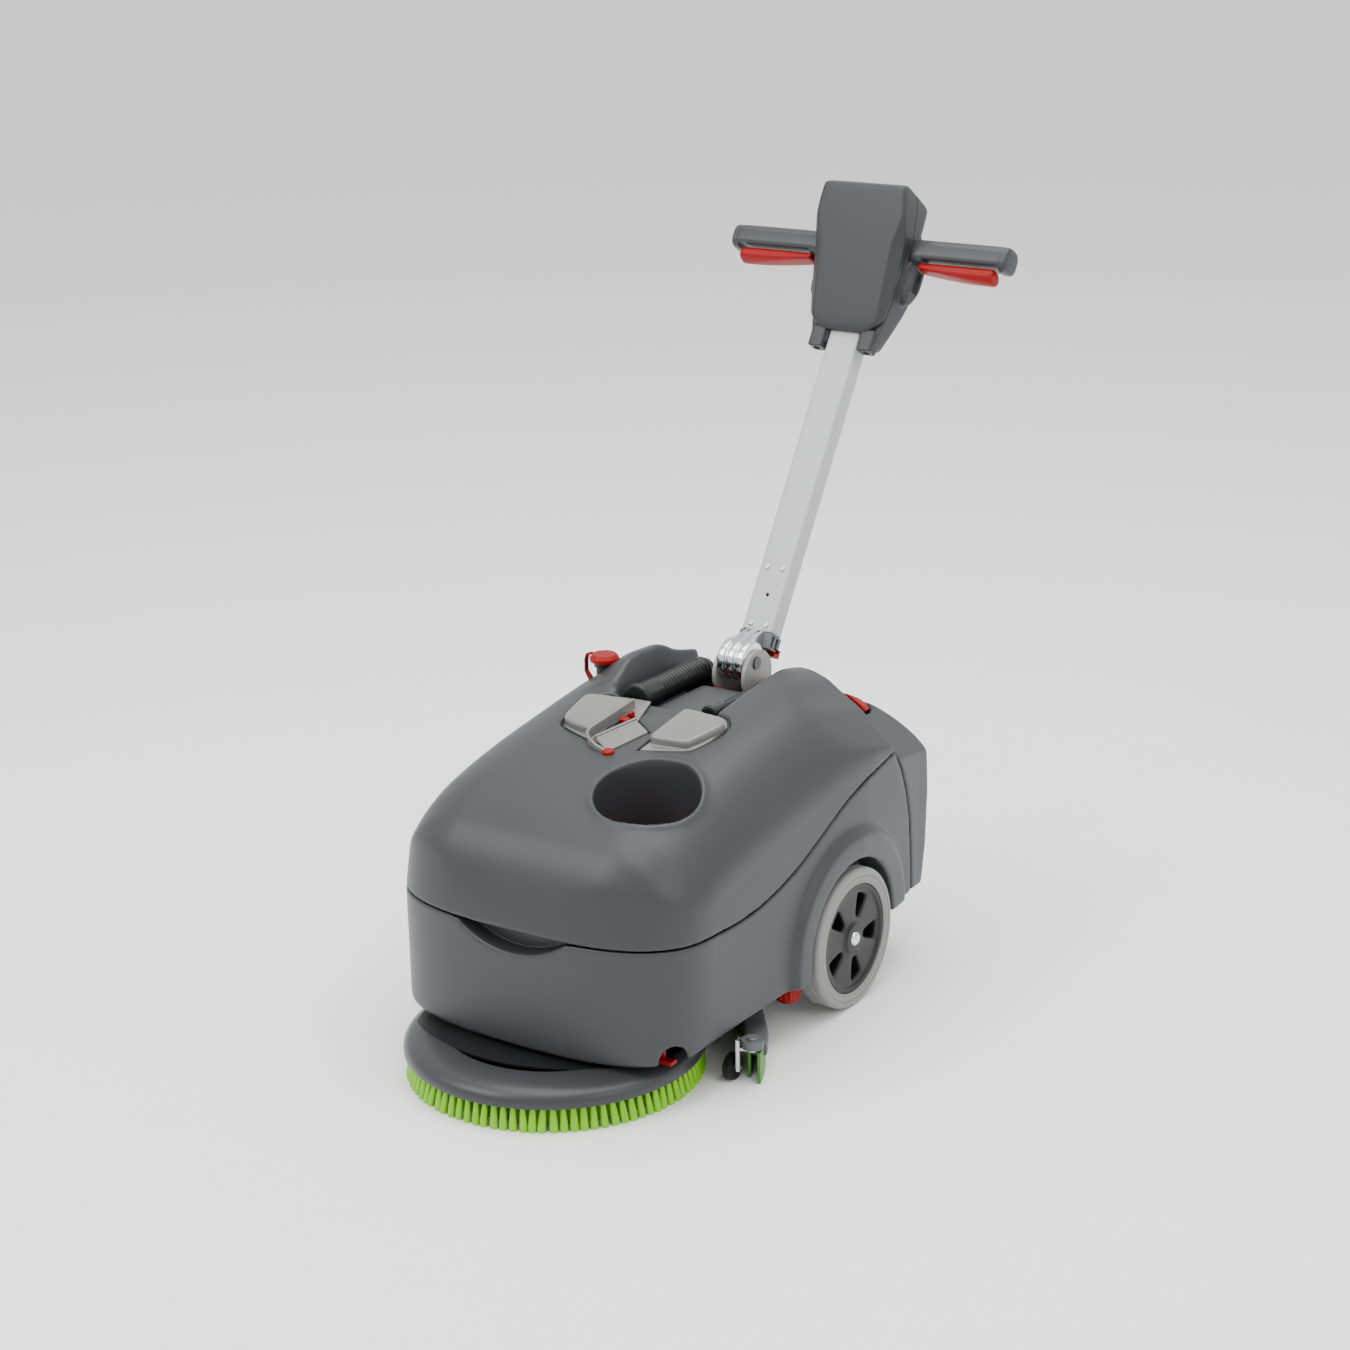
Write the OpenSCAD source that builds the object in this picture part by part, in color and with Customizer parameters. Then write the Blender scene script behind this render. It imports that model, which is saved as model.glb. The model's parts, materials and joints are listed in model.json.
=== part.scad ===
// Walk-behind floor scrubber: round brush in front, curved squeegee behind it,
// two big wheels at the back and a folding handle with squeeze triggers.
// Millimetres. The brush end faces -Y, +Z is up and the floor is z = 0.
// Inside the modules y is counted from the brush axis, or from the handle's fold pivot.

/* [Body] */
// Half width of the body shells
body_hw = 232; // [226:1:238]
// Distance from the brush axis to the front of the body
nose_reach = 94; // [88:1:96]
// Distance from the brush axis to the back of the rear cover
tail_reach = 608; // [604:1:612]
// Wall thickness of the moulded shells
wall = 4; // [3:0.5:5]
// Gap between neighbouring shells
seam = 1.6; // [1:0.1:2.5]
// Radius of the filling well in the upper tank
well_r = 69; // [60:1:72]

/* [Running gear] */
// Radius of the brush at the floor
brush_r = 200; // [190:1:204]
// Radius of the two wheels
wheel_r = 100; // [98:1:102]
// Distance from the brush axis to the axle
axle_y = 368; // [362:1:374]
// Outer radius of the squeegee arc
squeegee_r = 282; // [278:1:284]
// Diameter of the ribbed suction hose
suction_d = 38; // [32:1:42]
// Diameter of the thin vacuum line
vacuum_d = 17; // [14:1:24]

/* [Handle] */
// Lean of the post from the vertical
lean = 32.4; // [28:0.1:36]
// Width of the post
post_w = 51; // [48:1:54]
// Depth of the post
post_d = 30; // [28:1:32]
// Distance from the fold pivot to the top of the control head
head_top = 716; // [700:1:730]
// Half of the distance between the grip ends
grip_reach = 230; // [220:1:240]

/* [Hidden] */
$fn = 64;
brush_y = -335.7;
fit = 0.05;
gap = 0.5;
// Fold pivot of the handle
pivot_y = 460;
pivot_z = 437;
pin_r = 6;
// Seam between the shells, along the side
seam_line = [[-116, 225], [-50, 225], [20, 223], [90, 220], [141, 222], [190, 231], [240, 245],
             [291, 266], [340, 288], [370, 300], [424, 315], [487, 326], [499, 328]];
// Ridge of the upper tank, from the nose to the back
ridge_line = [[-104, 225], [-94, 245], [-84, 268], [-70, 305], [-45, 340], [-10, 365], [24, 380],
              [70, 393], [130, 405], [172, 412], [252, 424], [309, 432], [440, 447], [462, 444],
              [497, 398]];
// Joint between the lower shell and the rear cover, from the bottom up
tail_line = [[556, 100], [555, 150], [549, 220], [538, 262], [522, 300], [502, 330]];
// Outline of the back of the rear cover, from the bottom up
cover_line = [[592, 100], [603, 160], [608, 235], [606, 296], [596, 322], [572, 350], [538, 378],
              [502, 398]];
nose_power = 2.8;
nose_mid = 40;
nose_lean = 12;
nose_seam_z = 225;
shell_top = 800;
flat_hw = 112;
tail_round = 30;
// Wheel and its arch
wheel_in = 203;
wheel_out = 245;
arch_r = 113;
flare_r = 160;
axle_r = 10;
hub_r = 78;
// Lid of the upper tank
lid_y = 215;
lid_z = 424;
lid_tilt = 8.5;
button_x = 5;
well_x = 108;
well_y = 70;
groove_x = 60;
groove_z = 404;
// Ports under the rear ends of the hoses
port_y = 466;
port_top = 326;
hose_bend_r = 26;
hose_front = 300;
suction_z = 417;
vacuum_z = 416;
hose_wall = 2.5;
port_gap = 4;
cap_x = -150;
cap_y = 341;
// Deck and brush
deck_top = 60;
plate_z = 112;
motor_r = 55;
lug_pos = [[80, 32], [-80, 32], [80, -32], [-80, -32]];
// Squeegee
arc_start = 20;
arc_sweep = 180 - 2 * arc_start;
sleeve_pos = [[-60, 261], [60, 261]];
roller_pos = [249, 95, 55];
castor_pos = [222, 88, 18];
filter_pos = [208, 246];
cover_pivot = [582, 108];
guide_r = 5;
// Handle pieces, counted from the fold pivot along the post
post_back = 19;
post_start = 50;
grip_y = 24;
grip_z = 637;
grip_r = 19;
trigger_pivot = [18, 621];
head_in = 490;

// ---- placing and shaping helpers ----

module at_brush() translate([0, brush_y, 0]) children();

module at_pivot() at_brush() translate([0, pivot_y, pivot_z]) rotate([-lean, 0, 0]) children();

module at_lid() at_brush() translate([0, lid_y, lid_z]) rotate([lid_tilt, 0, 0]) children();

// A (y, z) outline made hw wide to both sides of the middle
module across(hw) rotate([90, 0, 90]) linear_extrude(2 * hw, center = true) children();

// A (y, z) outline between two x values
module slab(x0, x1) translate([x0, 0, 0]) rotate([90, 0, 90]) linear_extrude(x1 - x0) children();

// A box given by its lowest and highest corners
module block(low, high) translate(low) cube(high - low);

// A round bar along x between two x values
module bar_x(r, x0, x1, y = 0, z = 0) translate([x0, y, z]) rotate([0, 90, 0]) cylinder(r = r, h = x1 - x0);

module both_sides() {
    children();
    mirror([1, 0, 0]) children();
}

// One arc of a ring, given its (r, z) section
module arc_ring(start, sweep) rotate([0, 0, start]) rotate_extrude(angle = sweep) children();

// ---- body shells ----

function nose_point(t, inset) = [(body_hw - inset) * pow(sin(t), 2 / nose_power),
    nose_mid - (nose_reach + nose_mid - inset) * pow(cos(t), 2 / nose_power)];

function tail_point(t, inset) = [body_hw - 8 - tail_round + (tail_round - inset) * cos(t),
    tail_reach - tail_round + (tail_round - inset) * sin(t)];

function half_plan(inset) = concat([for (t = [0 : 7.5 : 90]) nose_point(t, inset)],
    [[body_hw - inset, 420]], [for (t = [0 : 22.5 : 90]) tail_point(t, inset)]);

// The points of an outline on the other side of the middle, in reverse order
function mirrored(points) = [for (i = [len(points) - 1 : -1 : 0]) [-points[i][0], points[i][1]]];

// Outline of the body from above
module plan(inset = 0) polygon(concat(half_plan(inset), mirrored(half_plan(inset))));

module plan_block(inset = 0) translate([0, 0, 20]) linear_extrude(480) plan(inset);

// The same outline leaning back above the seam, for the nose of the upper tank
module leaning_plan(inset) translate([0, -nose_reach, nose_seam_z]) rotate([-nose_lean, 0, 0])
    translate([0, nose_reach, -nose_seam_z]) linear_extrude(shell_top) plan(inset);

// Round-shouldered section, run backwards along a slope that passes through (y, z)
function shoulder(inset) = [for (t = [0 : 10 : 90])
    [flat_hw, -inset] + (body_hw + 2 - flat_hw - inset) * [sin(t), cos(t) - 1]];

module vault(y, z, slope, inset) translate([0, y, z]) rotate([90 + slope, 0, 0])
    linear_extrude(1400, center = true) polygon(concat(mirrored(shoulder(inset)), shoulder(inset),
        [[body_hw + 2 - inset, -450], [-body_hw - 2 + inset, -450]]));

// Outer slopes of the two shoulders beside the hinge, falling towards the back
module rear_slopes(inset) translate([0, 490, 440]) rotate([87, 0, 0])
    linear_extrude(1400, center = true) polygon([[-236, -58 - inset], [-100, -inset],
        [100, -inset], [236, -58 - inset], [236, -450], [-236, -450]]);

module vaults(inset) intersection() {
    rear_slopes(inset);
    vault(130, 407, 7.4, inset);
    vault(60, 392, 14, inset);
    vault(-18, 360, 32, inset);
}

// How far a point of the nose moves back with the wall
function nose_shift(y, inset) = inset * max(0, min(1, -y / 80));

module tank_side(inset) polygon(concat([for (p = ridge_line) p + [nose_shift(p[0], inset), -inset]],
    [for (i = [len(seam_line) - 1 : -1 : 0]) seam_line[i] + [0, seam + inset]]));

module tank_form(inset) intersection() {
    across(body_hw + 5) tank_side(inset);
    leaning_plan(inset);
    vaults(inset);
    block([-300, -200, 0], [300, 497 - inset, 600]);
}

// Round-bottomed channel for a hose, open at the top and the back
module groove(extra) both_sides() translate([groove_x, 530, groove_z]) rotate([90, 0, 0])
    linear_extrude(246 + extra) polygon(concat([for (t = [180 : 20 : 360]) (26 + extra) * [cos(t), sin(t)]],
        [[26 + extra, 90], [-26 - extra, 90]]));

// Slot for the handle's hinge, open to the back
module hinge_slot(extra) block([-37 - extra, 412 - extra, 200], [37 + extra, 520, 520]);

// Slots that the two hoses drop through, open to the back
module hose_slot(extra) both_sides()
    block([30, 440 - extra, 200], [groove_x + 26 + extra, 520, groove_z + 2]);

module well_hole(extra) translate([well_x, well_y, 282 - extra]) cylinder(r = well_r + extra, h = 200);

module upper_tank() color("#55585b") at_brush() difference() {
    tank_form(0);
    difference() {
        tank_form(wall);
        well_hole(wall);
        groove(wall);
        hinge_slot(wall);
        hose_slot(wall);
        block([-130, 130, 392], [130, 300, 460]);
        translate([cap_x, cap_y, 300]) cylinder(r = 17, h = 200);
    }
    well_hole(0);
    groove(0);
    hinge_slot(0);
    hose_slot(0);
    translate([0, lid_y, lid_z]) rotate([lid_tilt, 0, 0]) translate([0, 0, -16])
        linear_extrude(40) lid_plan(4);
    translate([0, lid_y, lid_z]) rotate([lid_tilt, 0, 0]) button_way();
    block([-60, 172, 380], [60, 268, 460]);
    block([-34, 284, 410], [34, 520, 470]);
    translate([cap_x, cap_y, 300]) cylinder(r = 12 + fit, h = 200);
}

module shell_side() polygon(concat([[-110, 65], [-40, 67], [20, 77], [300, 77],
    [420, 96]], tail_line, [[499, 328]],
    [for (i = [len(seam_line) - 1 : -1 : 0]) seam_line[i]]));

// Raised disc of the side around each wheel arch
module arch_flare() intersection() {
    translate([body_hw - 12, axle_y, wheel_r]) rotate([0, 90, 0]) cylinder(r = flare_r, h = 24);
    across(wheel_out) shell_side();
}

module shell_ring() difference() {
    union() {
        intersection() {
            plan_block(0);
            across(body_hw + 5) shell_side();
        }
        both_sides() arch_flare();
    }
    difference() {
        translate([0, 0, 10]) linear_extrude(500) plan(wall);
        both_sides() bar_x(arch_r + wall, wheel_in - 11, body_hw, axle_y, wheel_r);
        both_sides() block([body_hw - 8, axle_y - flare_r + 14, 0], [body_hw, axle_y + 200, 240]);
    }
    both_sides() bar_x(arch_r, wheel_in - 7, body_hw + 30, axle_y, wheel_r);
    bar_x(axle_r + gap, -body_hw, body_hw, axle_y, wheel_r);
    both_sides() block([wheel_in - 7, axle_y - arch_r, 0], [260, axle_y + arch_r, wheel_r]);
}

// Finger recess in the top edge of the nose
module finger_cut() translate([0, 0, 341]) rotate([90, 0, 0]) cylinder(r = 145, h = 200, center = true);

module lower_shell() color("#55585b") at_brush() {
    difference() {
        shell_ring();
        intersection() {
            finger_cut();
            block([-110, -120, 150], [110, -60, 240]);
        }
        translate([200, -20, 56]) rotate([90, 0, 60]) cylinder(r = 22, h = 90, center = true);
    }
    difference() {
        intersection() {
            plan_block(wall);
            block([-92, -100, 186], [92, -54, 218.5]);
        }
        intersection() {
            finger_cut();
            block([-110, -120, 100], [110, -58, 240]);
        }
    }
}

module rear_cover() color("#626568") at_brush() {
    difference() {
        cover_form(0);
        difference() {
            cover_form(wall);
            block([-250, 480, 80], [250, 545, 110]);
        }
        block([-196, 499, 376], [196, 520, 420]);
        block([-44, 490, 200], [44, 524, 420]);
    }
    both_sides() {
        bar_x(pin_r / 2, 141, 168, cover_pivot[0], cover_pivot[1]);
        block([162, 579, 104], [168, 591, 112]);
    }
}

module cover_side(inset) polygon(concat([for (p = cover_line) [p[0] - inset, p[1] - inset]],
    [for (i = [len(tail_line) - 1 : -1 : 0]) tail_line[i] + [seam - inset, 0]]));

module cover_form(inset) intersection() {
    across(body_hw + 5) cover_side(inset);
    plan_block(inset);
    vault(130, 407, 7.4, inset);
}

module rear_latch() color("#c8201f") at_brush() intersection() {
    both_sides() block([50, 500.5, 378], [186, 516, 400]);
    across(body_hw) polygon([[500, 370], [517, 370], [517, 389], [500, 402]]);
}

// ---- inside the body ----

module chassis_plate() color("#33363a") at_brush() difference() {
    union() {
        block([-180, -50, plate_z], [180, 545, plate_z + 4]);
        both_sides() slab(150, 156) polygon([[540, plate_z], [582, 103], [587, 108], [582, 113],
            [545, plate_z + 4], [540, plate_z + 4]]);
        both_sides() block([150, axle_y - 16, plate_z - 26], [160, axle_y + 16, plate_z]);
        for (p = lug_pos) translate([p[0], p[1], deck_top]) cylinder(r = 7, h = plate_z - deck_top);
    }
    cylinder(r = motor_r + 3, h = 300);
    bar_x(axle_r, -240, 240, axle_y, wheel_r);
    bar_x(pin_r / 2 + fit, -200, 200, cover_pivot[0], cover_pivot[1]);
}

module axle() color("#8d9093") at_brush() bar_x(axle_r, -241, 241, axle_y, wheel_r);

module battery_pack() color("#2b2e31") at_brush() {
    block([-150, 250, plate_z + 4], [-4, 410, 232]);
    block([4, 250, plate_z + 4], [150, 410, 232]);
    both_sides() translate([60, 280, 232]) cylinder(r = 7, h = 10);
    both_sides() translate([60, 380, 232]) cylinder(r = 7, h = 10);
}

module vacuum_motor() color("#6f7275") at_brush() translate([96, 474, plate_z + 4]) {
    cylinder(r = 62, h = 34);
    translate([0, 0, 34]) cylinder(r = 48, h = 56);
    translate([groove_x - 96, port_y - 474, 34]) cylinder(r = 16, h = port_top - plate_z - 38);
}

module suction_port() color("#202224") at_brush() translate([-groove_x, port_y, plate_z + 4]) difference() {
    union() {
        cylinder(r = 19, h = port_top - plate_z - 4);
        cylinder(r = 26, h = 8);
    }
    translate([0, 0, -1]) cylinder(r = 16, h = 220);
}

module brush_motor() color("#4a4d50") at_brush() {
    translate([0, 0, deck_top]) cylinder(r = 66, h = 9);
    translate([0, 0, deck_top + 9]) cylinder(r = motor_r, h = 50);
    translate([0, 0, deck_top + 59]) cylinder(r = 48, h = 80);
    translate([0, 0, 42]) cylinder(r = 9, h = deck_top - 42);
}

module deck_cover() color("#6a6d70") at_brush() rotate_extrude($fn = 96) polygon([
    [14, 56], [118, 56], [148, 54], [197, 37], [197, 33.5], [201, 33.5], [201, 40], [196, 43],
    [152, 58], [144, 60], [14, 60]]);

module filter_housing() color("#26282b") at_brush() translate([filter_pos[0], filter_pos[1], 66]) {
    cylinder(r = 12, h = 10);
    translate([0, -1.5, 9]) cylinder(r = 5, h = plate_z - 75);
    translate([-40, -10, plate_z - 78]) block([0, 0, 0], [28, 13, 12]);
    translate([-26, -6, plate_z - 66]) block([0, 0, -3], [24, 9, 0]);
}

module filter_cap() color("#c8201f") at_brush() translate([filter_pos[0], filter_pos[1], 0]) difference() {
    union() {
        translate([0, 0, 52]) cylinder(r = 18, h = 22);
        translate([0, 0, 48]) cylinder(r = 14, h = 4);
        for (a = [0 : 45 : 315]) rotate([0, 0, a]) translate([17, 0, 54]) cylinder(r = 2.5, h = 18, $fn = 16);
    }
    translate([0, 0, 65.5]) cylinder(r = 12 + fit * 6, h = 20);
}

module brush_release() color("#c8201f") at_brush() translate([192, -24, 0]) difference() {
    union() {
        block([-6, -7, 62], [14, 7, 67]);
        block([-6, -3, 66], [0, 3, 88]);
    }
    translate([-10, 0, 84]) rotate([0, 90, 0]) cylinder(r = 1.6, h = 20);
}

// ---- handle hinge ----

module cheek_plate() difference() {
    union() {
        translate([464, 418]) circle(r = 36);
        translate([436, 300]) square([60, 110]);
    }
    translate([pivot_y, pivot_z]) circle(r = pin_r + fit);
}

module hinge_cheeks() color("#a5a5a0") at_brush() both_sides() slab(21.5, 27) cheek_plate();

module hinge_base() color("#26282b") at_brush() {
    block([-21.5, 436, 300], [21.5, 496, 372]);
    block([-27, 430, plate_z + 4], [27, 500, 300]);
}

module hinge_pin() color("#3a3c3e") at_brush() {
    bar_x(pin_r, -29, 29, pivot_y, pivot_z);
    bar_x(9, 27, 29.5, pivot_y, pivot_z);
    bar_x(9, -29.5, -27, pivot_y, pivot_z);
}

module fold_lock() color("#c8201f") at_brush() difference() {
    union() {
        block([-21, 424, 384], [-7, 430, 402]);
        block([-21, 420, 380], [-7, 434, 386]);
    }
    bar_x(1.6, -40, 0, 427, 398);
}

module knuckle() color("#d5d7d9") at_pivot() difference() {
    union() {
        for (x = [-19.5 : 8.4 : 15]) bar_x(29, x, x + 5.4);
        bar_x(26, -19.5, 19.5);
        block([-9, 0, 0], [9, 40, 50]);
        block([-21, post_back + 3.5, 50], [21, post_back + post_d - 3.5, 86]);
    }
    bar_x(pin_r + fit, -40, 40);
}

module post() color("#c9cac9") at_pivot() difference() {
    block([-post_w / 2, post_back, post_start], [post_w / 2, post_back + post_d, 560]);
    block([-post_w / 2 + 2.5, post_back + 2.5, 40], [post_w / 2 - 2.5, post_back + post_d - 2.5, 570]);
}

module post_clamp() color("#75787b") at_pivot() difference() {
    block([-post_w / 2 - 0.5, post_back - 0.5, 28], [post_w / 2 + 0.5, post_back + post_d, 49.5]);
    block([-9.3, -10, 20], [9.3, 42, 60]);
    block([post_w / 2 - 3, 24, 31], [post_w, 30, 47]);
    block([post_w / 2 - 3, 36, 31], [post_w, 42, 47]);
    rotate([0, 90, 0]) cylinder(r = 30, h = 80, center = true);
    block([-10, 41.7, 27], [30, 60, 33]);
}

module post_screws() color("#b9babb") at_pivot() for (p = [[-12.5, 60], [12.5, 60], [-12.5, 145], [12.5, 145]])
    translate([p[0], post_back, p[1]]) rotate([90, 0, 0]) cylinder(r = 3.6, h = 2.2);

module release_lever() color("#c8201f") at_pivot() difference() {
    union() {
        block([6, 42.5, 22], [26, 56, 27]);
        block([6, 50, 22], [26, 56, 34]);
    }
    bar_x(1.6, 0, 40, 53, 31);
}

// ---- control head ----

head_side_pts = [[-44, 704], [-32, head_top], [34, head_top - 4], [46, 690], [62, 672], [58, 560],
                 [44, head_in], [10, head_in + 4], [7, 520]];

module head_side() polygon(head_side_pts);

// Width of the head from the front, narrower below
module head_width(inset = 0) polygon([[-66 + inset, 716], [66 - inset, 716], [72 - inset, 690],
    [72 - inset, 620], [65 - inset, 545], [38 - inset, 490], [-38 + inset, 490], [-65 + inset, 545],
    [-72 + inset, 620], [-72 + inset, 690]]);

module head_form(inset) intersection() {
    across(90) offset(delta = -inset) head_side();
    rotate([90, 0, 0]) linear_extrude(240, center = true) offset(delta = -inset) head_width();
}

// Everything behind the plane where the two halves of the head meet
module head_split(shift) translate([0, 8 + shift, 600]) rotate([-6, 0, 0]) block([-120, 0, -160], [120, 120, 160]);

module post_way(clear) block([-post_w / 2 - clear, post_back - clear, 400],
    [post_w / 2 + clear, post_back + post_d + clear, 561]);

module grip_way(clear) translate([0, grip_y, grip_z]) rotate([0, 90, 0])
    cylinder(r = grip_r + clear, h = 200, center = true);

module head_front() color("#4f5255") at_pivot() difference() {
    head_form(0);
    head_form(3);
    head_split(-0.3);
    post_way(0.3);
    grip_way(0.3);
}

module head_rear() color("#494c4f") at_pivot() difference() {
    union() {
        intersection() {
            difference() {
                head_form(0);
                head_form(3);
            }
            head_split(0.3);
        }
        both_sides() difference() {
            bar_x(28, 70, 92, grip_y, grip_z - 18);
            bar_x(24, 66, 76, grip_y, grip_z - 18);
            difference() {
                block([60, -60, 560], [72.3, 80, 700]);
                head_split(0.3);
            }
        }
    }
    post_way(0.3);
    grip_way(0.3);
    translate([0, 50, 640]) rotate([2, 0, 0]) block([-46, 0, -50], [46, 30, 36]);
    both_sides() block([76, -20, 590], [120, 60, grip_z - 46]);
    both_sides() bar_x(1.5 + fit, 82, 120, trigger_pivot[0], trigger_pivot[1]);
}

module console_panel() color("#2a2c2f") at_pivot() translate([0, 55.5, 640]) rotate([2, 0, 0]) difference() {
    block([-45.5, -2.5, -49.5], [45.5, 0.5, 35.5]);
    for (p = [[-24, -28], [24, -28], [24, 14]]) translate([p[0], 0, p[1]]) rotate([90, 0, 0])
        cylinder(r = 8.4, h = 20, center = true);
}

module panel_button(x, z, r) at_pivot() translate([0, 55.5, 640]) rotate([2, 0, 0])
    translate([x, 2.5, z]) rotate([90, 0, 0]) cylinder(r = r, h = 9);

module power_button() color("#3f9a3a") panel_button(-24, -28, 8);

module water_button() color("#2f6fb5") panel_button(24, -28, 8);

module key_switch() color("#9c9ea0") {
    panel_button(24, 14, 7.5);
    at_pivot() translate([0, 55.5, 640]) rotate([2, 0, 0]) block([22.8, 2.5, 8], [25.2, 14, 20]);
}

// Round bar with a flat underside
module grip_bar() difference() {
    bar_x(grip_r, 74, grip_reach, grip_y, grip_z);
    block([94, grip_y - 30, grip_z - 40], [grip_reach - 14, grip_y + 30, grip_z - 12]);
    bar_x(1.5 + fit, 82, grip_reach - 7, trigger_pivot[0], trigger_pivot[1]);
}

module grip_right() color("#5a5d60") at_pivot() grip_bar();

module grip_left() color("#5a5d60") at_pivot() mirror([1, 0, 0]) grip_bar();

// Squeeze lever that hangs under a grip on two stub pins along its front edge
module trigger_bar() {
    slab(97, grip_reach - 18) polygon([[8, 604], [8, 620], [12, 624], [24, 624], [36, 617], [41, 610],
        [38, 601], [26, 596], [13, 598]]);
    bar_x(1.5, 84, grip_reach - 9, trigger_pivot[0], trigger_pivot[1]);
}

module trigger_right() color("#c8201f") at_pivot() trigger_bar();

module trigger_left() color("#c8201f") at_pivot() mirror([1, 0, 0]) trigger_bar();

// ---- on the upper tank ----

// Outline of the lid from above, in the lid's own plane
module lid_plan(grow) {
    lobe = [[0, -80 - grow], [44, -66 - grow], [104 + grow, -46 - grow], [116 + grow, -8],
            [117 + grow, 36], [96 + grow, 62 + grow], [0, 70 + grow]];
    polygon(concat(lobe, mirrored(lobe)));
}

// Room for the lid's button, in the lid's own frame
module button_way() translate([button_x, -66, -8]) rotate([90, 0, 0]) cylinder(r = 11, h = 34);

module separator_lid() color("#b4b4ae") at_lid() {
    difference() {
        union() {
            translate([0, 0, -15.5]) linear_extrude(9) lid_plan(1);
            both_sides() translate([0, 0, -6.5]) linear_extrude(7.5) polygon([[46, -56], [102, -45],
                [114, -8], [115, 34], [98, 56], [36, 64], [34, 52]]);
            intersection() {
                block([-34, -84, -8], [34, -70, -1]);
                translate([0, 0, -10]) linear_extrude(20) lid_plan(0.5);
            }
        }
        block([button_x - 8, -110, -20], [button_x + 8, -60, 10]);
        translate([button_x, -70, -8]) rotate([90, 0, 0]) cylinder(r = 8 + gap, h = 40);
        both_sides() translate([groove_x, 58, -16]) rotate([-90 + lid_tilt, 0, 0])
            cylinder(r = 24, h = 60);
        block([-16, -40, -20], [16, 20, -11]);
        both_sides() block([36, 72, -30], [84, 100, 10]);
    }
    both_sides() block([33, -52, -6.5], [36, 50, 2]);
}

module float_cage() color("#d9d9d4") at_lid() {
    difference() {
        translate([0, 0, -110]) cylinder(r = 27, h = 94.5);
        translate([0, 0, -107]) cylinder(r = 24, h = 100);
        for (a = [0 : 60 : 300]) rotate([0, 0, a]) block([-5, 0, -100], [5, 40, -28]);
    }
}

module lid_button() color("#c8201f") at_lid() translate([button_x, -79, -8]) rotate([90, 0, 0]) {
    cylinder(r = 8, h = 12);
    translate([0, 0, 12]) cylinder(r = 6, h = 2);
}

module fill_filter() color("#b52a22") at_brush() translate([well_x, well_y, 0]) difference() {
    translate([0, 0, 282.5]) cylinder(r = well_r - 4, h = 24);
    translate([0, 0, 285.5]) cylinder(r = well_r - 8, h = 40);
    for (i = [-4 : 4]) block([12 * i - 3, -40, 270], [12 * i + 3, 40, 300]);
}

module drain_neck() color("#1d1f20") at_brush() translate([cap_x, cap_y, 0]) difference() {
    union() {
        translate([0, 0, 392]) cylinder(r = 12, h = 52);
        translate([0, 0, 437]) cylinder(r = 15, h = 5);
    }
    translate([0, 0, 380]) cylinder(r = 9, h = 80);
}

module drain_cap() color("#c8201f") at_brush() translate([cap_x, cap_y, 0]) {
    translate([0, 0, 444.4]) cylinder(r = 21, h = 5);
    translate([0, 0, 449.4]) cylinder(r1 = 21, r2 = 17, h = 5);
    translate([0, 0, 434]) cylinder(r = 8.9, h = 11);
}

module cap_strap() color("#b02a25") at_brush() translate([cap_x - 21.6, cap_y, 0]) rotate([90, 0, 0])
    translate([0, 0, -4]) linear_extrude(8) difference() {
        polygon([[-1, 453], [-8, 451], [-11, 442], [-11, 424], [-2, 408], [2, 408], [2, 411],
                 [-9, 425], [-9, 441], [-6.5, 448.5], [-0.4, 450]]);
        translate([-40, 300]) square([10, 10]);
    }

// Hose: a straight run along its groove, a quarter turn and a drop onto its port
module hose_run(d, length) difference() {
    cylinder(r = d / 2, h = length);
    translate([0, 0, -1]) cylinder(r = d / 2 - hose_wall, h = length + 2);
}

module hose_bend(d) rotate_extrude(angle = 90) translate([hose_bend_r, 0]) difference() {
    circle(r = d / 2);
    circle(r = d / 2 - hose_wall);
}

module hose(x, z, d) {
    translate([x, hose_front, z]) rotate([-90, 0, 0]) hose_run(d, port_y - hose_bend_r - hose_front);
    translate([x, port_y - hose_bend_r, z - hose_bend_r]) rotate([90, 0, 90]) hose_bend(d);
    translate([x, port_y, port_top + port_gap]) hose_run(d, z - hose_bend_r - port_top - port_gap);
}

module suction_hose() color("#17181a") at_brush() hose(-groove_x, suction_z, suction_d);

module vacuum_hose() color("#17181a") at_brush() hose(groove_x, vacuum_z, vacuum_d);

// Stepped sleeve that joins a hose to the lid
module hose_cuff(d) translate([0, hose_front - 13.5, 0]) rotate([-90, 0, 0]) difference() {
    cylinder(r = d / 2 + 2.5, h = 24);
    translate([0, 0, 13.2]) cylinder(r = d / 2 + 0.2, h = 20);
    translate([0, 0, -1]) cylinder(r = d / 2 - 5, h = 40);
}

module hose_cuffs() color("#101112") at_brush() {
    translate([-groove_x, 0, suction_z]) hose_cuff(suction_d);
    translate([groove_x, 0, vacuum_z]) hose_cuff(vacuum_d);
}

// ---- brush ----

module brush_hub() color("#2b2d30") at_brush() difference() {
    translate([0, 0, 37]) cylinder(r = 34, h = 16);
    translate([0, 0, 41.5]) cylinder(r = 9 + fit, h = 20);
}

module brush_plate() color("#3a3d40") at_brush() difference() {
    translate([0, 0, 27]) cylinder(r = 186, h = 10);
    translate([0, 0, 20]) cylinder(r = 30, h = 30);
}

module bristles() color("#8cc61c") at_brush() rotate_extrude($fn = 96)
    polygon([[96, 27], [92, 0], [brush_r, 0], [188, 27]]);

// ---- wheels ----

module hub() rotate_extrude($fn = 96) polygon([[axle_r + fit, 4], [20, 4], [20, 12], [70, 14], [74, 4],
    [hub_r, 4], [hub_r, 38], [72, 39], [68, 34], [24, 34], [22, 40], [axle_r + fit, 40]]);

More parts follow.
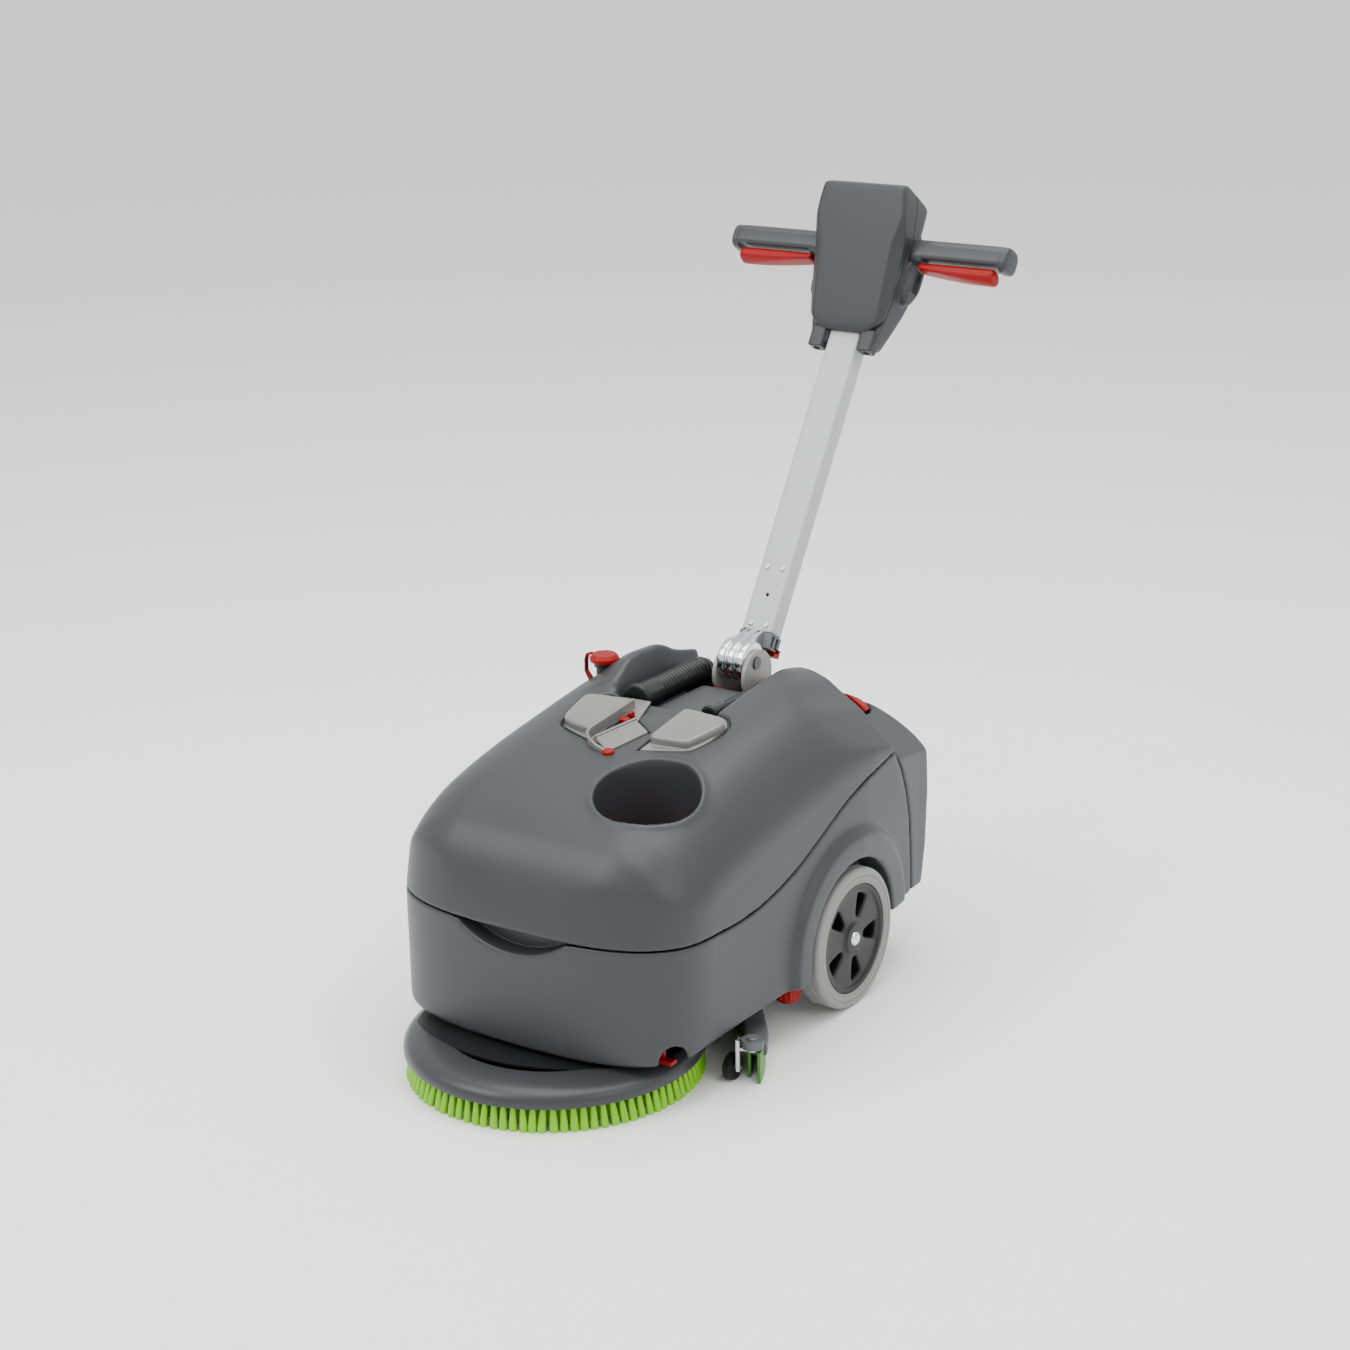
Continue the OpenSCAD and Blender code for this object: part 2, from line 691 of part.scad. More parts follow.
module tyre() rotate_extrude($fn = 96) polygon([[hub_r + 0.2, 3], [88, 1], [95, 1], [wheel_r, 6],
    [wheel_r, 36], [95, 41], [88, 42], [84, 40], [hub_r + 0.2, 40]]);

module on_axle() at_brush() translate([wheel_in, axle_y, wheel_r]) rotate([0, 90, 0]) children();

module hub_slots() for (a = [0 : 72 : 288]) rotate([0, 0, a + 10]) linear_extrude(60)
    polygon([[30, -5], [62, -13], [62, 13], [30, 5]]);

module hub_right() color("#3c3e40") on_axle() difference() {
    hub();
    hub_slots();
}

module hub_left() color("#3c3e40") mirror([1, 0, 0]) hub_right();

module tyre_right() color("#a8a9a4") on_axle() tyre();

module tyre_left() color("#a8a9a4") mirror([1, 0, 0]) tyre_right();

// ---- squeegee ----

module squeegee_carrier() color("#2f3235") at_brush() difference() {
    union() {
        translate([0, 0, 70]) cylinder(r = 78, h = 8);
        block([-28, 66, 70], [28, 246, 78]);
        block([-70, 234, 70], [70, 254, 78]);
        for (p = sleeve_pos) translate([p[0], p[1], 69]) cylinder(r = 10, h = 9);
    }
    translate([0, 0, 60]) cylinder(r = 57, h = 30);
    for (p = sleeve_pos) translate([p[0], p[1], 60]) cylinder(r = guide_r + fit, h = 30);
}

module squeegee_body() color("#6f7275") at_brush() {
    arc_ring(arc_start + 5, arc_sweep - 10) polygon([[squeegee_r - 28, 44.2], [squeegee_r, 44.2],
        [squeegee_r, 52], [squeegee_r - 28, 52]]);
    arc_ring(arc_start + 5, arc_sweep - 10) polygon([[squeegee_r - 19.5, 26], [squeegee_r - 8.5, 26],
        [squeegee_r - 8.5, 44.2], [squeegee_r - 19.5, 44.2]]);
    for (p = sleeve_pos) translate([p[0], p[1], 50]) cylinder(r = guide_r, h = 31);
}

module squeegee_bracket() color("#c3c4c4") at_brush() both_sides() {
    arc_ring(arc_start - 1.2, 3) polygon([[squeegee_r - 36, 16], [squeegee_r - 31.2, 16],
        [squeegee_r - 31.2, 60.5], [squeegee_r - 36, 60.5]]);
    arc_ring(arc_start - 0.4, 1.8) polygon([[squeegee_r - 34, 45], [squeegee_r - 14, 45],
        [squeegee_r - 14, 48.5], [squeegee_r - 34, 48.5]]);
    translate([roller_pos[0], roller_pos[1], 44.5]) cylinder(r = 7, h = 4.5);
    translate([roller_pos[0], roller_pos[1], 44.5]) cylinder(r = 4, h = 18.5);
    translate([roller_pos[0], roller_pos[1], 61.5]) cylinder(r = 7, h = 2.5);
    bar_x(3, castor_pos[0] - 6, castor_pos[0] + 14, castor_pos[1], castor_pos[2]);
}

module blade_front() color("#3f6d1c") at_brush() arc_ring(arc_start + 3, arc_sweep - 6)
    translate([squeegee_r - 24, 0]) square([4, 44]);

module blade_rear() color("#4b8a1c") at_brush() arc_ring(arc_start - 0.5, arc_sweep + 1)
    translate([squeegee_r - 8, 0]) square([4, 44]);

module roller_right() color("#67696b") at_brush() translate(roller_pos) difference() {
    translate([0, 0, -5.5]) cylinder(r = 15, h = 11);
    translate([0, 0, -10]) cylinder(r = 4 + fit, h = 20);
}

module roller_left() mirror([1, 0, 0]) roller_right();

module castor_right() color("#1c1d1e") at_brush() difference() {
    bar_x(castor_pos[2], castor_pos[0] - 5, castor_pos[0] + 5, castor_pos[1], castor_pos[2]);
    bar_x(3 + fit, 0, 260, castor_pos[1], castor_pos[2]);
}

module castor_left() mirror([1, 0, 0]) castor_right();

// ---- parts to draw ----

lower_shell();
chassis_plate();
axle();
battery_pack();
vacuum_motor();
brush_motor();
deck_cover();
hinge_base();
hinge_cheeks();
hinge_pin();
suction_port();
filter_housing();
filter_cap();
brush_release();
fold_lock();
rear_cover();
rear_latch();
upper_tank();
drain_neck();
drain_cap();
cap_strap();
suction_hose();
vacuum_hose();
hose_cuffs();
separator_lid();
float_cage();
lid_button();
fill_filter();
post();
knuckle();
post_clamp();
post_screws();
release_lever();
head_front();
head_rear();
console_panel();
power_button();
water_button();
key_switch();
grip_left();
grip_right();
trigger_left();
trigger_right();
brush_hub();
brush_plate();
bristles();
hub_left();
hub_right();
tyre_left();
tyre_right();
squeegee_carrier();
squeegee_body();
squeegee_bracket();
blade_front();
blade_rear();
roller_left();
roller_right();
castor_left();
castor_right();
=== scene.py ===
"""A walk-behind floor scrubber in a pale studio: moulded shells, hoses, wheels and a tufted brush.

Shapes are written in millimetres, in four local frames: the body's (y from the brush axis), the
handle's (from the fold pivot along the post), the lid's and each wheel's. A frame is a 4x4 array
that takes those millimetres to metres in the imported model's own axes.
"""

import json
import math

import bpy
import numpy as np
from mathutils import Matrix, Vector


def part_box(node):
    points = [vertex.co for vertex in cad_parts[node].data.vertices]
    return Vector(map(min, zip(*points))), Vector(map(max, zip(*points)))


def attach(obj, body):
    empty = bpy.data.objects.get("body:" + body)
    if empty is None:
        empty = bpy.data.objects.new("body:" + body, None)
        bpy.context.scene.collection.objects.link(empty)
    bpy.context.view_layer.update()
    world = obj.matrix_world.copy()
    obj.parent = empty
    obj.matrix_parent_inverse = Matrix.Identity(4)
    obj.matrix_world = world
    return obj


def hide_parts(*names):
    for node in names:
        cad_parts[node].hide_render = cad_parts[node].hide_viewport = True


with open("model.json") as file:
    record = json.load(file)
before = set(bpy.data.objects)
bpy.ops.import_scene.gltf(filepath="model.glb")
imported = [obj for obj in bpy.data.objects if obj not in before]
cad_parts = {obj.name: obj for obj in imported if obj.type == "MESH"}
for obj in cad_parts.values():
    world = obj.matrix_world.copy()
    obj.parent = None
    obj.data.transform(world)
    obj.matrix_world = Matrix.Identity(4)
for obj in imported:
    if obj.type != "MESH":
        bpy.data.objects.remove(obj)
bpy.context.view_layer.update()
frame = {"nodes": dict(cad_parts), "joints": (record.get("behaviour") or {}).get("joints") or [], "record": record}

MM = 0.001


# ---------------------------------------------------------------- frames

joints = {j["name"]: j for j in frame["joints"]}
LEAN = 32.4
LID_TILT = 8.5


def local_frame(origin, tilt=0.0, across=False, mirror=False):
    """A frame at origin (metres), tilted about x, or with its z axis along x for a wheel."""
    turn = Matrix.Rotation(math.radians(tilt), 4, "X")
    if across:
        turn = Matrix.Rotation(math.radians(90.0), 4, "Y")
    flip = Matrix.Diagonal((-1.0 if mirror else 1.0, 1.0, 1.0, 1.0))
    return np.array(flip @ Matrix.Translation(origin) @ turn @ Matrix.Scale(MM, 4))


def middle(node):
    """The middle of a node's box."""
    low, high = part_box(node)
    return (low + high) / 2


brush_y = middle("bristles").y
wheel_mid = middle("tyre_right")
BODY = local_frame((0, brush_y, 0))
HANDLE = local_frame(joints["handle_fold"]["pos_m"], -LEAN)
LID = local_frame((0, brush_y + 0.215, 0.424), LID_TILT)
WHEEL_IN = 0.203
WHEEL = {
    "right": local_frame((WHEEL_IN, wheel_mid.y, wheel_mid.z), across=True),
    "left": local_frame((WHEEL_IN, wheel_mid.y, wheel_mid.z), across=True, mirror=True),
}

# ---------------------------------------------------------------- materials


def finish(name, colour, rough, metallic=0.0, grain=700.0, bump=0.12, mottle=0.08, wear=0.0,
           coat=0.0, stretch=(1, 1, 1), bump_depth=0.0003, shine=0.35):
    """A procedural material: mottled colour and gloss, fine grain, optional pale wear."""
    mat = bpy.data.materials.new(name)
    mat.use_nodes = True
    nodes, links = mat.node_tree.nodes, mat.node_tree.links
    shader = nodes["Principled BSDF"]
    shader.inputs["Metallic"].default_value = metallic
    shader.inputs["Coat Weight"].default_value = coat
    shader.inputs["Specular IOR Level"].default_value = shine
    place = nodes.new("ShaderNodeTexCoord")
    mapping = nodes.new("ShaderNodeMapping")
    mapping.inputs["Scale"].default_value = stretch
    links.new(place.outputs["Object"], mapping.inputs["Vector"])

    def noise(scale, detail):
        node = nodes.new("ShaderNodeTexNoise")
        node.inputs["Scale"].default_value = scale
        node.inputs["Detail"].default_value = detail
        links.new(mapping.outputs["Vector"], node.inputs["Vector"])
        return node

    broad, fine = noise(9.0, 4.0), noise(grain, 3.0)
    tint = nodes.new("ShaderNodeMix")
    tint.data_type = "RGBA"
    dark = [c * (1 - mottle) for c in colour]
    pale = [min(1.0, c * (1 + mottle) + wear) for c in colour]
    tint.inputs["A"].default_value = (*dark, 1)
    tint.inputs["B"].default_value = (*pale, 1)
    links.new(broad.outputs["Fac"], tint.inputs["Factor"])
    links.new(tint.outputs["Result"], shader.inputs["Base Color"])
    gloss = nodes.new("ShaderNodeMapRange")
    gloss.inputs["To Min"].default_value = max(0.03, rough - 0.07)
    gloss.inputs["To Max"].default_value = min(1.0, rough + 0.07)
    links.new(broad.outputs["Fac"], gloss.inputs["Value"])
    links.new(gloss.outputs["Result"], shader.inputs["Roughness"])
    relief = nodes.new("ShaderNodeBump")
    relief.inputs["Strength"].default_value = bump
    relief.inputs["Distance"].default_value = bump_depth
    links.new(fine.outputs["Fac"], relief.inputs["Height"])
    links.new(relief.outputs["Normal"], shader.inputs["Normal"])
    return mat


def srgb(*levels):
    """Linear colour from 0-255 screen levels."""
    return [((v / 255 + 0.055) / 1.055) ** 2.4 if v > 10 else v / 255 / 12.92 for v in levels]


SHELL = finish("moulded_grey", srgb(50, 52, 54), 0.4)
COVER = finish("cover_grey", srgb(62, 64, 66), 0.42)
HEAD = finish("head_grey", srgb(42, 44, 46), 0.42)
DECK = finish("deck_grey", srgb(48, 50, 53), 0.34)
LID_GREY = finish("lid_grey", srgb(110, 110, 106), 0.2, mottle=0.04, coat=0.3, shine=0.5)
RED = finish("red_plastic", srgb(132, 0, 2), 0.42, mottle=0.06, shine=0.2)
DARK = finish("dark_plastic", srgb(16, 17, 18), 0.45)
RUBBER = finish("hose_rubber", srgb(14, 15, 16), 0.36, grain=500)
STEEL = finish("post_metal", srgb(172, 173, 173), 0.4, metallic=0.1, grain=900, stretch=(1, 1, 0.06),
               mottle=0.03)
CHROME = finish("bright_cast", srgb(220, 222, 224), 0.16, metallic=1.0, grain=260, bump=0.1)
CHEEK = finish("cheek_metal", srgb(140, 140, 136), 0.42, metallic=0.2, mottle=0.03)
DARK_STEEL = finish("dark_steel", srgb(80, 82, 84), 0.35, metallic=0.9)
MOTOR = finish("motor_metal", srgb(120, 122, 124), 0.4, metallic=0.7)
GREEN = finish("bristle_green", srgb(120, 190, 0), 0.45, mottle=0.12, grain=900)
BLADE = finish("blade_green", srgb(62, 116, 26), 0.4, mottle=0.1)
TYRE = finish("tyre_grey", srgb(128, 129, 127), 0.55, mottle=0.05)
HUB = finish("hub_grey", srgb(14, 14, 15), 0.4)
BUTTON_GREEN = finish("button_green", srgb(60, 150, 60), 0.35)
BUTTON_BLUE = finish("button_blue", srgb(50, 110, 180), 0.35)
BRACKET = finish("bracket_metal", srgb(196, 197, 197), 0.25, metallic=0.9)
CLAMP = finish("clamp_grey", srgb(84, 86, 88), 0.45)
WHITE = finish("strainer_white", srgb(215, 215, 208), 0.4)

SLOT_LOOKS = {
    "shell_grey": SHELL, "cover_grey": COVER, "head_grey": HEAD, "lid_grey": LID_GREY,
    "red_plastic": RED, "dark_plastic": DARK, "hose_rubber": RUBBER, "post_metal": STEEL,
    "bright_cast": CHROME, "cheek_metal": CHEEK, "dark_steel": DARK_STEEL, "motor_metal": MOTOR,
    "bristle_green": GREEN, "blade_green": BLADE, "tyre_grey": TYRE, "hub_grey": HUB,
    "button_green": BUTTON_GREEN, "button_blue": BUTTON_BLUE, "bracket_metal": BRACKET,
    "clamp_grey": CLAMP, "strainer_white": WHITE,
}
SLOT_OF = {look.name: slot for slot, look in SLOT_LOOKS.items()}
SLOT_OF[DECK.name] = "shell_grey"

for part in frame["record"]["subparts"]:
    data = frame["nodes"][part["node"]].data
    data.materials.clear()
    data.materials.append(SLOT_LOOKS[part["material_slot"]])

# ---------------------------------------------------------------- mesh building


def piece(name, verts, faces, where, look, body, replaces=(), sharp=None):
    """A mesh from local millimetres, riding on a body."""
    verts = np.asarray(verts, float)
    verts = verts @ where[:3, :3].T + where[:3, 3]
    faces = [tuple(f) for f in faces]
    if np.linalg.det(where[:3, :3]) < 0:
        faces = [f[::-1] for f in faces]
    data = bpy.data.meshes.new(name)
    data.from_pydata(verts.tolist(), [], faces)
    data.polygons.foreach_set("use_smooth", [True] * len(data.polygons))
    if sharp is not None:
        data.set_sharp_from_angle(angle=math.radians(sharp))
    data.materials.append(look)
    data.update()
    obj = bpy.data.objects.new(name, data)
    bpy.context.scene.collection.objects.link(obj)
    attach(obj, body)
    if replaces:
        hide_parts(*replaces)
    return obj


def grid_faces(rows, cols, wrap_rows=False, wrap_cols=True):
    """Quads of a grid of points stored row by row."""
    out = []
    for i in range(rows if wrap_rows else rows - 1):
        for j in range(cols if wrap_cols else cols - 1):
            a, b = i * cols + j, i * cols + (j + 1) % cols
            c, d = ((i + 1) % rows) * cols + (j + 1) % cols, ((i + 1) % rows) * cols + j
            out.append((a, b, c, d))
    return out


def lathe(profile, steps=96, closed=False):
    """A profile of (radius, height) turned about z. A closed profile makes a ring."""
    angles = np.linspace(0, 2 * math.pi, steps, endpoint=False)
    verts = [(r * math.cos(a), r * math.sin(a), z) for r, z in profile for a in angles]
    faces = grid_faces(len(profile), steps, wrap_rows=closed)
    if not closed:
        for end, flip in ((0, True), (len(profile) - 1, False)):
            ring = [end * steps + j for j in range(steps)]
            faces.append(tuple(ring[::-1] if flip else ring))
    return verts, faces


def tube(path, radius, steps=32):
    """A tube along a path of points, with one radius per point."""
    path = np.asarray(path, float)
    ahead = np.gradient(path, axis=0)
    ahead /= np.linalg.norm(ahead, axis=1)[:, None]
    side = np.cross(ahead, (1.0, 0.0, 0.0))
    side /= np.linalg.norm(side, axis=1)[:, None]
    other = np.cross(ahead, side)
    angles = np.linspace(0, 2 * math.pi, steps, endpoint=False)
    across, up = np.cos(angles)[None, :, None], np.sin(angles)[None, :, None]
    ring = across * side[:, None] + up * other[:, None]
    verts = (path[:, None] + ring * np.asarray(radius, float)[:, None, None]).reshape(-1, 3)
    faces = grid_faces(len(path), steps)
    last = (len(path) - 1) * steps
    faces.append(tuple(range(steps))[::-1])
    faces.append(tuple(last + j for j in range(steps)))
    return verts, faces


def joined(*parts):
    """Several (verts, faces) as one."""
    verts, faces = [], []
    for v, f in parts:
        base = len(verts)
        verts += [tuple(p) for p in v]
        faces += [tuple(i + base for i in q) for q in f]
    return verts, faces


# ---------------------------------------------------------------- fields
# A field is negative inside a form. smooth_max cuts with a soft edge, smooth_min joins.


def smooth_max(a, b, soft):
    """The larger of two fields, blended over a width."""
    return 0.5 * (a + b + np.sqrt((a - b) ** 2 + soft * soft))


def smooth_min(a, b, soft):
    """The smaller of two fields, blended over a width."""
    return -smooth_max(-a, -b, soft)


def between(v, low, high):
    """Negative between two values."""
    return np.maximum(low - v, v - high)


def curve(points, soften):
    """A smooth height as a function of one coordinate, and its slope factor."""
    xs, ys = np.array(points, float).T
    order = np.argsort(xs)
    grid = np.linspace(xs.min(), xs.max(), 800)
    level = np.interp(grid, xs[order], ys[order])
    step = grid[1] - grid[0]
    reach = int(3 * soften / step)
    kernel = np.exp(-0.5 * (np.arange(-reach, reach + 1) * step / soften) ** 2)
    before, after = 2 * level[0] - level[reach:0:-1], 2 * level[-1] - level[-2:-reach - 2:-1]
    padded = np.concatenate([before, level, after])
    level = np.convolve(padded, kernel / kernel.sum(), mode="valid")
    steep = 1 / np.hypot(1, np.gradient(level, step))
    return lambda t: (np.interp(t, grid, level), np.interp(t, grid, steep))


def convex(u, v, outline, soft):
    """Inside of a convex outline, counter-clockwise, with rounded corners."""
    out = None
    for (u0, v0), (u1, v1) in zip(outline, outline[1:] + outline[:1]):
        length = math.hypot(u1 - u0, v1 - v0)
        d = ((u - u0) * (v1 - v0) - (v - v0) * (u1 - u0)) / length
        out = d if out is None else smooth_max(out, d, soft)
    return out


def skin(field, low, high, cell, rounds=3, h=0.2):
    """Surface of a field as quads: one vertex per crossed cell, moved onto the surface."""
    axes = [np.arange(a - 2 * cell, b + 3 * cell, cell) for a, b in zip(low, high)]
    grid = np.broadcast_to(
        field(axes[0][:, None, None], axes[1][None, :, None], axes[2][None, None, :]),
        [len(a) for a in axes]).astype(np.float32)
    inside = grid < 0
    corners = [(i, j, k) for i in (0, 1) for j in (0, 1) for k in (0, 1)]
    shape = [n - 1 for n in grid.shape]

    def shifted(a, c):
        return a[c[0]:c[0] + shape[0], c[1]:c[1] + shape[1], c[2]:c[2] + shape[2]]

    count = sum(shifted(inside, c).astype(np.int8) for c in corners)
    mixed = (count > 0) & (count < 8)
    cells = np.argwhere(mixed)
    index = np.full(shape, -1, np.int64)
    index[mixed] = np.arange(len(cells))
    total = np.zeros((len(cells), 3))
    hits = np.zeros(len(cells))
    for axis in range(3):
        for c in corners:
            if c[axis]:
                continue
            d = list(c)
            d[axis] = 1
            fa, fb = shifted(grid, c)[mixed], shifted(grid, d)[mixed]
            crossed = (fa < 0) != (fb < 0)
            t = np.where(crossed, fa / np.where(crossed, fa - fb, 1), 0)
            at = cells + np.array(c, float)
            at[:, axis] += t
            total += at * crossed[:, None]
            hits += crossed
    verts = total / hits[:, None] * cell + np.array([a[0] for a in axes])
    faces = []
    for axis in range(3):
        u, v = [(1, 2), (2, 0), (0, 1)][axis]
        a = inside[tuple(slice(0, -1) if k == axis else slice(1, -1) for k in range(3))]
        b = inside[tuple(slice(1, None) if k == axis else slice(1, -1) for k in range(3))]
        for mask, flip in ((a & ~b, False), (~a & b, True)):
            at = np.argwhere(mask)
            ring = []
            for du, dv in ((0, 0), (1, 0), (1, 1), (0, 1)):
                p = at.copy()
                p[:, u] += du
                p[:, v] += dv
                ring.append(index[p[:, 0], p[:, 1], p[:, 2]])
            quad = np.stack(ring if not flip else ring[::-1], 1)
            faces.append(quad)
    faces = np.concatenate(faces)
    for _ in range(rounds):
        f0 = field(*verts.T)
        g = np.stack([(field(*(verts + h * e).T) - field(*(verts - h * e).T)) / (2 * h)
                      for e in np.eye(3)], 1)
        size = np.maximum((g * g).sum(1), 0.05)
        step = g * (f0 / size)[:, None]
        far = np.maximum(np.linalg.norm(step, axis=1) / (0.5 * cell), 1)
        verts = verts - step / far[:, None]
    return verts, faces.tolist()


# ---------------------------------------------------------------- body shells

NOSE = 94.0  # how far the nose reaches before the brush axis
NOSE_MID = 40.0  # y at which the straight sides start to curve in
HALF_WIDTH = 232.0
POWER = 2.8  # how square the nose is from above
SEAM = 1.6  # gap between two shells
REAR = 497  # the tank's rear face
SHOULDER = 122  # radius of the tank's long upper edges
WELL = (108.0, 70.0, 69.0, 282.0)  # filling well: x, y, radius, floor
AXLE = (368.0, 100.0)  # y, z
WHEEL_ROOM = 113  # radius cleared round a wheel
ARCH_R = 158  # radius of the raised disc round it
SCOOP_Z, SCOOP_R = 341, 145  # the finger recess is a shallow arc of a large circle
HOSE_X = 60.0
GROOVES = [(-HOSE_X, 404, 26, 0.3, 5), (HOSE_X, 416, 14, 0.0, 4)]  # x, z, radius, widening, softness
GROOVE_FRONT = 286

# Heights (z) along y, with the rear edges as y along z and the tail's top as z along |x|.
SEAM_Z = curve([(-116, 225), (-50, 225), (20, 223), (90, 220), (141, 222), (190, 231), (240, 245),
                (291, 266), (340, 288), (370, 300), (424, 315), (487, 326), (520, 330)], 9)
RIDGE_Z = curve([(-130, 160), (-104, 225), (-94, 245), (-84, 268), (-70, 305), (-45, 340), (-10, 365),
                 (24, 380), (70, 393), (130, 405), (172, 412), (252, 424), (309, 434), (440, 449),
                 (462, 446), (497, 437), (520, 430)], 8)
TAIL_TOP = curve([(0, 436), (75, 435), (100, 431), (124, 421), (148, 404), (176, 387), (222, 346),
                  (244, 338)], 5)
HUMP_Z = curve([(270, 424), (300, 438), (334, 456), (365, 460), (413, 457), (430, 450), (448, 434),
                (455, 420), (480, 370)], 4)
TAIL_Y = curve([(60, 557), (100, 556), (150, 555), (220, 549), (262, 538), (300, 522), (330, 502),
                (345, 497), (420, 497)], 5)
COVER_Y = curve([(80, 588), (100, 592), (160, 603), (235, 608), (296, 606), (322, 596), (350, 572),
                 (378, 538), (398, 502), (420, 470)], 7)
BOTTOM_Z = curve([(-130, 65), (-40, 67), (20, 77), (300, 77), (420, 96), (600, 100)], 9)


def plan_field(x, y, inset=0.0):
    """The body's outline from above: a full nose, straight sides, slightly narrower tail."""
    half = HALF_WIDTH - inset - 8 * np.clip((y - 420) / 158, 0, 1)
    reach = NOSE + NOSE_MID - inset
    u = np.abs(x) / half
    v = np.maximum(NOSE_MID - y, 0) / reach
    r = np.maximum((u ** POWER + v ** POWER), 1e-9) ** (1 / POWER)
    slope = np.hypot(u ** (POWER - 1) / half, v ** (POWER - 1) / reach) * r ** (1 - POWER)
    return (r - 1) / np.maximum(slope, 1e-4)


def slope_rise(y, z, y0, z0, slope):
    """Height above a slope that passes through (y0, z0)."""
    c, s = math.cos(math.radians(slope)), math.sin(math.radians(slope))
    return (z - z0) * c - (y - y0) * s


def top_field(x, y, z):
    """Everything under the body's upper surface, a flat top with round shoulders."""
    ridge, steep = RIDGE_Z(y)
    rise = smooth_max((z - ridge) * steep, slope_rise(y, z, 130, 407, 7.4), 5)
    rise = smooth_max(rise, slope_rise(y, z, 60, 392, 14), 8)
    rise = smooth_max(rise, slope_rise(y, z, -18, 360, 32), 7)
    u, v = np.abs(x) - 112, rise + SHOULDER
    out = np.hypot(np.maximum(u, 0), np.maximum(v, 0)) - SHOULDER + np.minimum(np.maximum(u, v), 0)
    out = out + 0.3 * np.minimum(v, 0)
    tail, tail_steep = TAIL_TOP(np.abs(x))
    return smooth_max(out, (z - tail - 0.22 * (REAR - y)) * tail_steep, 8)


def leaning_plan(x, y, z):
    """The outline drawn in towards the top, so the nose leans back."""
    return plan_field(x, y - 0.212 * np.maximum(z - 225, 0))


LID_OUTLINE = [(0, -80), (44, -66), (104, -46), (116, -8), (117, 36), (96, 62), (0, 70)]
LID_HALF = LID_OUTLINE + [(-x, y) for x, y in LID_OUTLINE[-2:0:-1]]


def to_lid(y, z):
    """Lid-frame (y, z) of a point given in the body's frame."""
    c, s = math.cos(math.radians(LID_TILT)), math.sin(math.radians(LID_TILT))
    return (y - 215) * c + (z - 424) * s, -(y - 215) * s + (z - 424) * c


def ridge_plan(x, y):
    """The strip of tank that stands up through the lid, in the lid's frame."""
    front = convex(x, y, [(2, -96), (36, -96), (36, 0), (24, -18)], 1)
    return np.minimum(front, convex(x, y, [(24, -18), (36, -18), (36, 84), (-34, 84), (-11, 5)], 1))


def hump_field(x, y, z):
    """The swelling beside the wide hose, on the side away from the well."""
    hump, steep = HUMP_Z(y)
    bump = (z - hump + (x + 99) ** 2 / 95) * steep * 0.8
    return smooth_max(bump, np.maximum(between(x, -165, -60), between(y, 292, 470)), 3)


def groove_field(x, y, z, middle_x, floor_z, r, widen):
    """A hose's groove: a half round floor with walls that open upwards."""
    wall = r + widen * np.maximum(z - floor_z, 0)
    round_floor = np.hypot(x - middle_x, z - floor_z) - r
    return np.maximum(np.where(z > floor_z, np.abs(x - middle_x) - wall, round_floor), GROOVE_FRONT - y)


def tank_field(x, y, z):
    """The upper shell with its grooves, its filling well and the lid's recess."""
    seam, steep = SEAM_Z(y)
    out = smooth_max(top_field(x, y, z), leaning_plan(x, y, z), 3)
    out = smooth_max(out, (seam + SEAM - z) * steep, 1.6)
    out = smooth_min(out, hump_field(x, y, z), 8)
    rear, rear_steep = TAIL_Y(z)
    out = smooth_max(out, (y - rear) * rear_steep, 2)
    for middle_x, floor_z, r, widen, soft in GROOVES:
        out = smooth_max(out, -groove_field(x, y, z, middle_x, floor_z, r, widen), soft)
    between_hoses = np.maximum(np.maximum(-x - 36, x - 52), np.maximum(282 - y, 411 - z))
    out = smooth_max(out, -between_hoses, 4)
    slot = np.maximum(np.abs(x) - 37, 412 - y)
    out = smooth_max(out, -slot, 4)
    drop = np.maximum(np.maximum(30 - np.abs(x), np.abs(x) - 86), 440 - y)
    out = smooth_max(out, -np.maximum(drop, z - 410), 4)
    well_x, well_y, well_r, well_z = WELL
    from_well = np.hypot(x - well_x, y - well_y) - well_r
    rim = np.hypot(top_field(x, y, z) + 1.0, from_well - 2.5) - 3.2
    out = smooth_max(smooth_min(out, rim, 5), -np.maximum(from_well, well_z - z), 3)
    lid_y, lid_z = to_lid(y, z)
    ridge = np.maximum(ridge_plan(x, lid_y), lid_z + 6 + 0.2615 * np.maximum(lid_y - 5, 0))
    recess = np.maximum(np.maximum(convex(x, lid_y, LID_HALF, 8) - 5, -16 - lid_z), -ridge)
    return smooth_max(out, -recess, 2.5)


def arch_field(x, y, z):
    """The raised disc round a wheel arch, fading towards the back."""
    r = np.hypot(y - AXLE[0], z - AXLE[1])
    proud = 12.5 * np.clip((560 - y) / 170, 0, 1)
    beyond = np.abs(x) - HALF_WIDTH
    disc = np.maximum(r - ARCH_R + np.maximum(beyond, 0), 205 - np.abs(x))
    return smooth_max(disc, beyond - proud, 3)


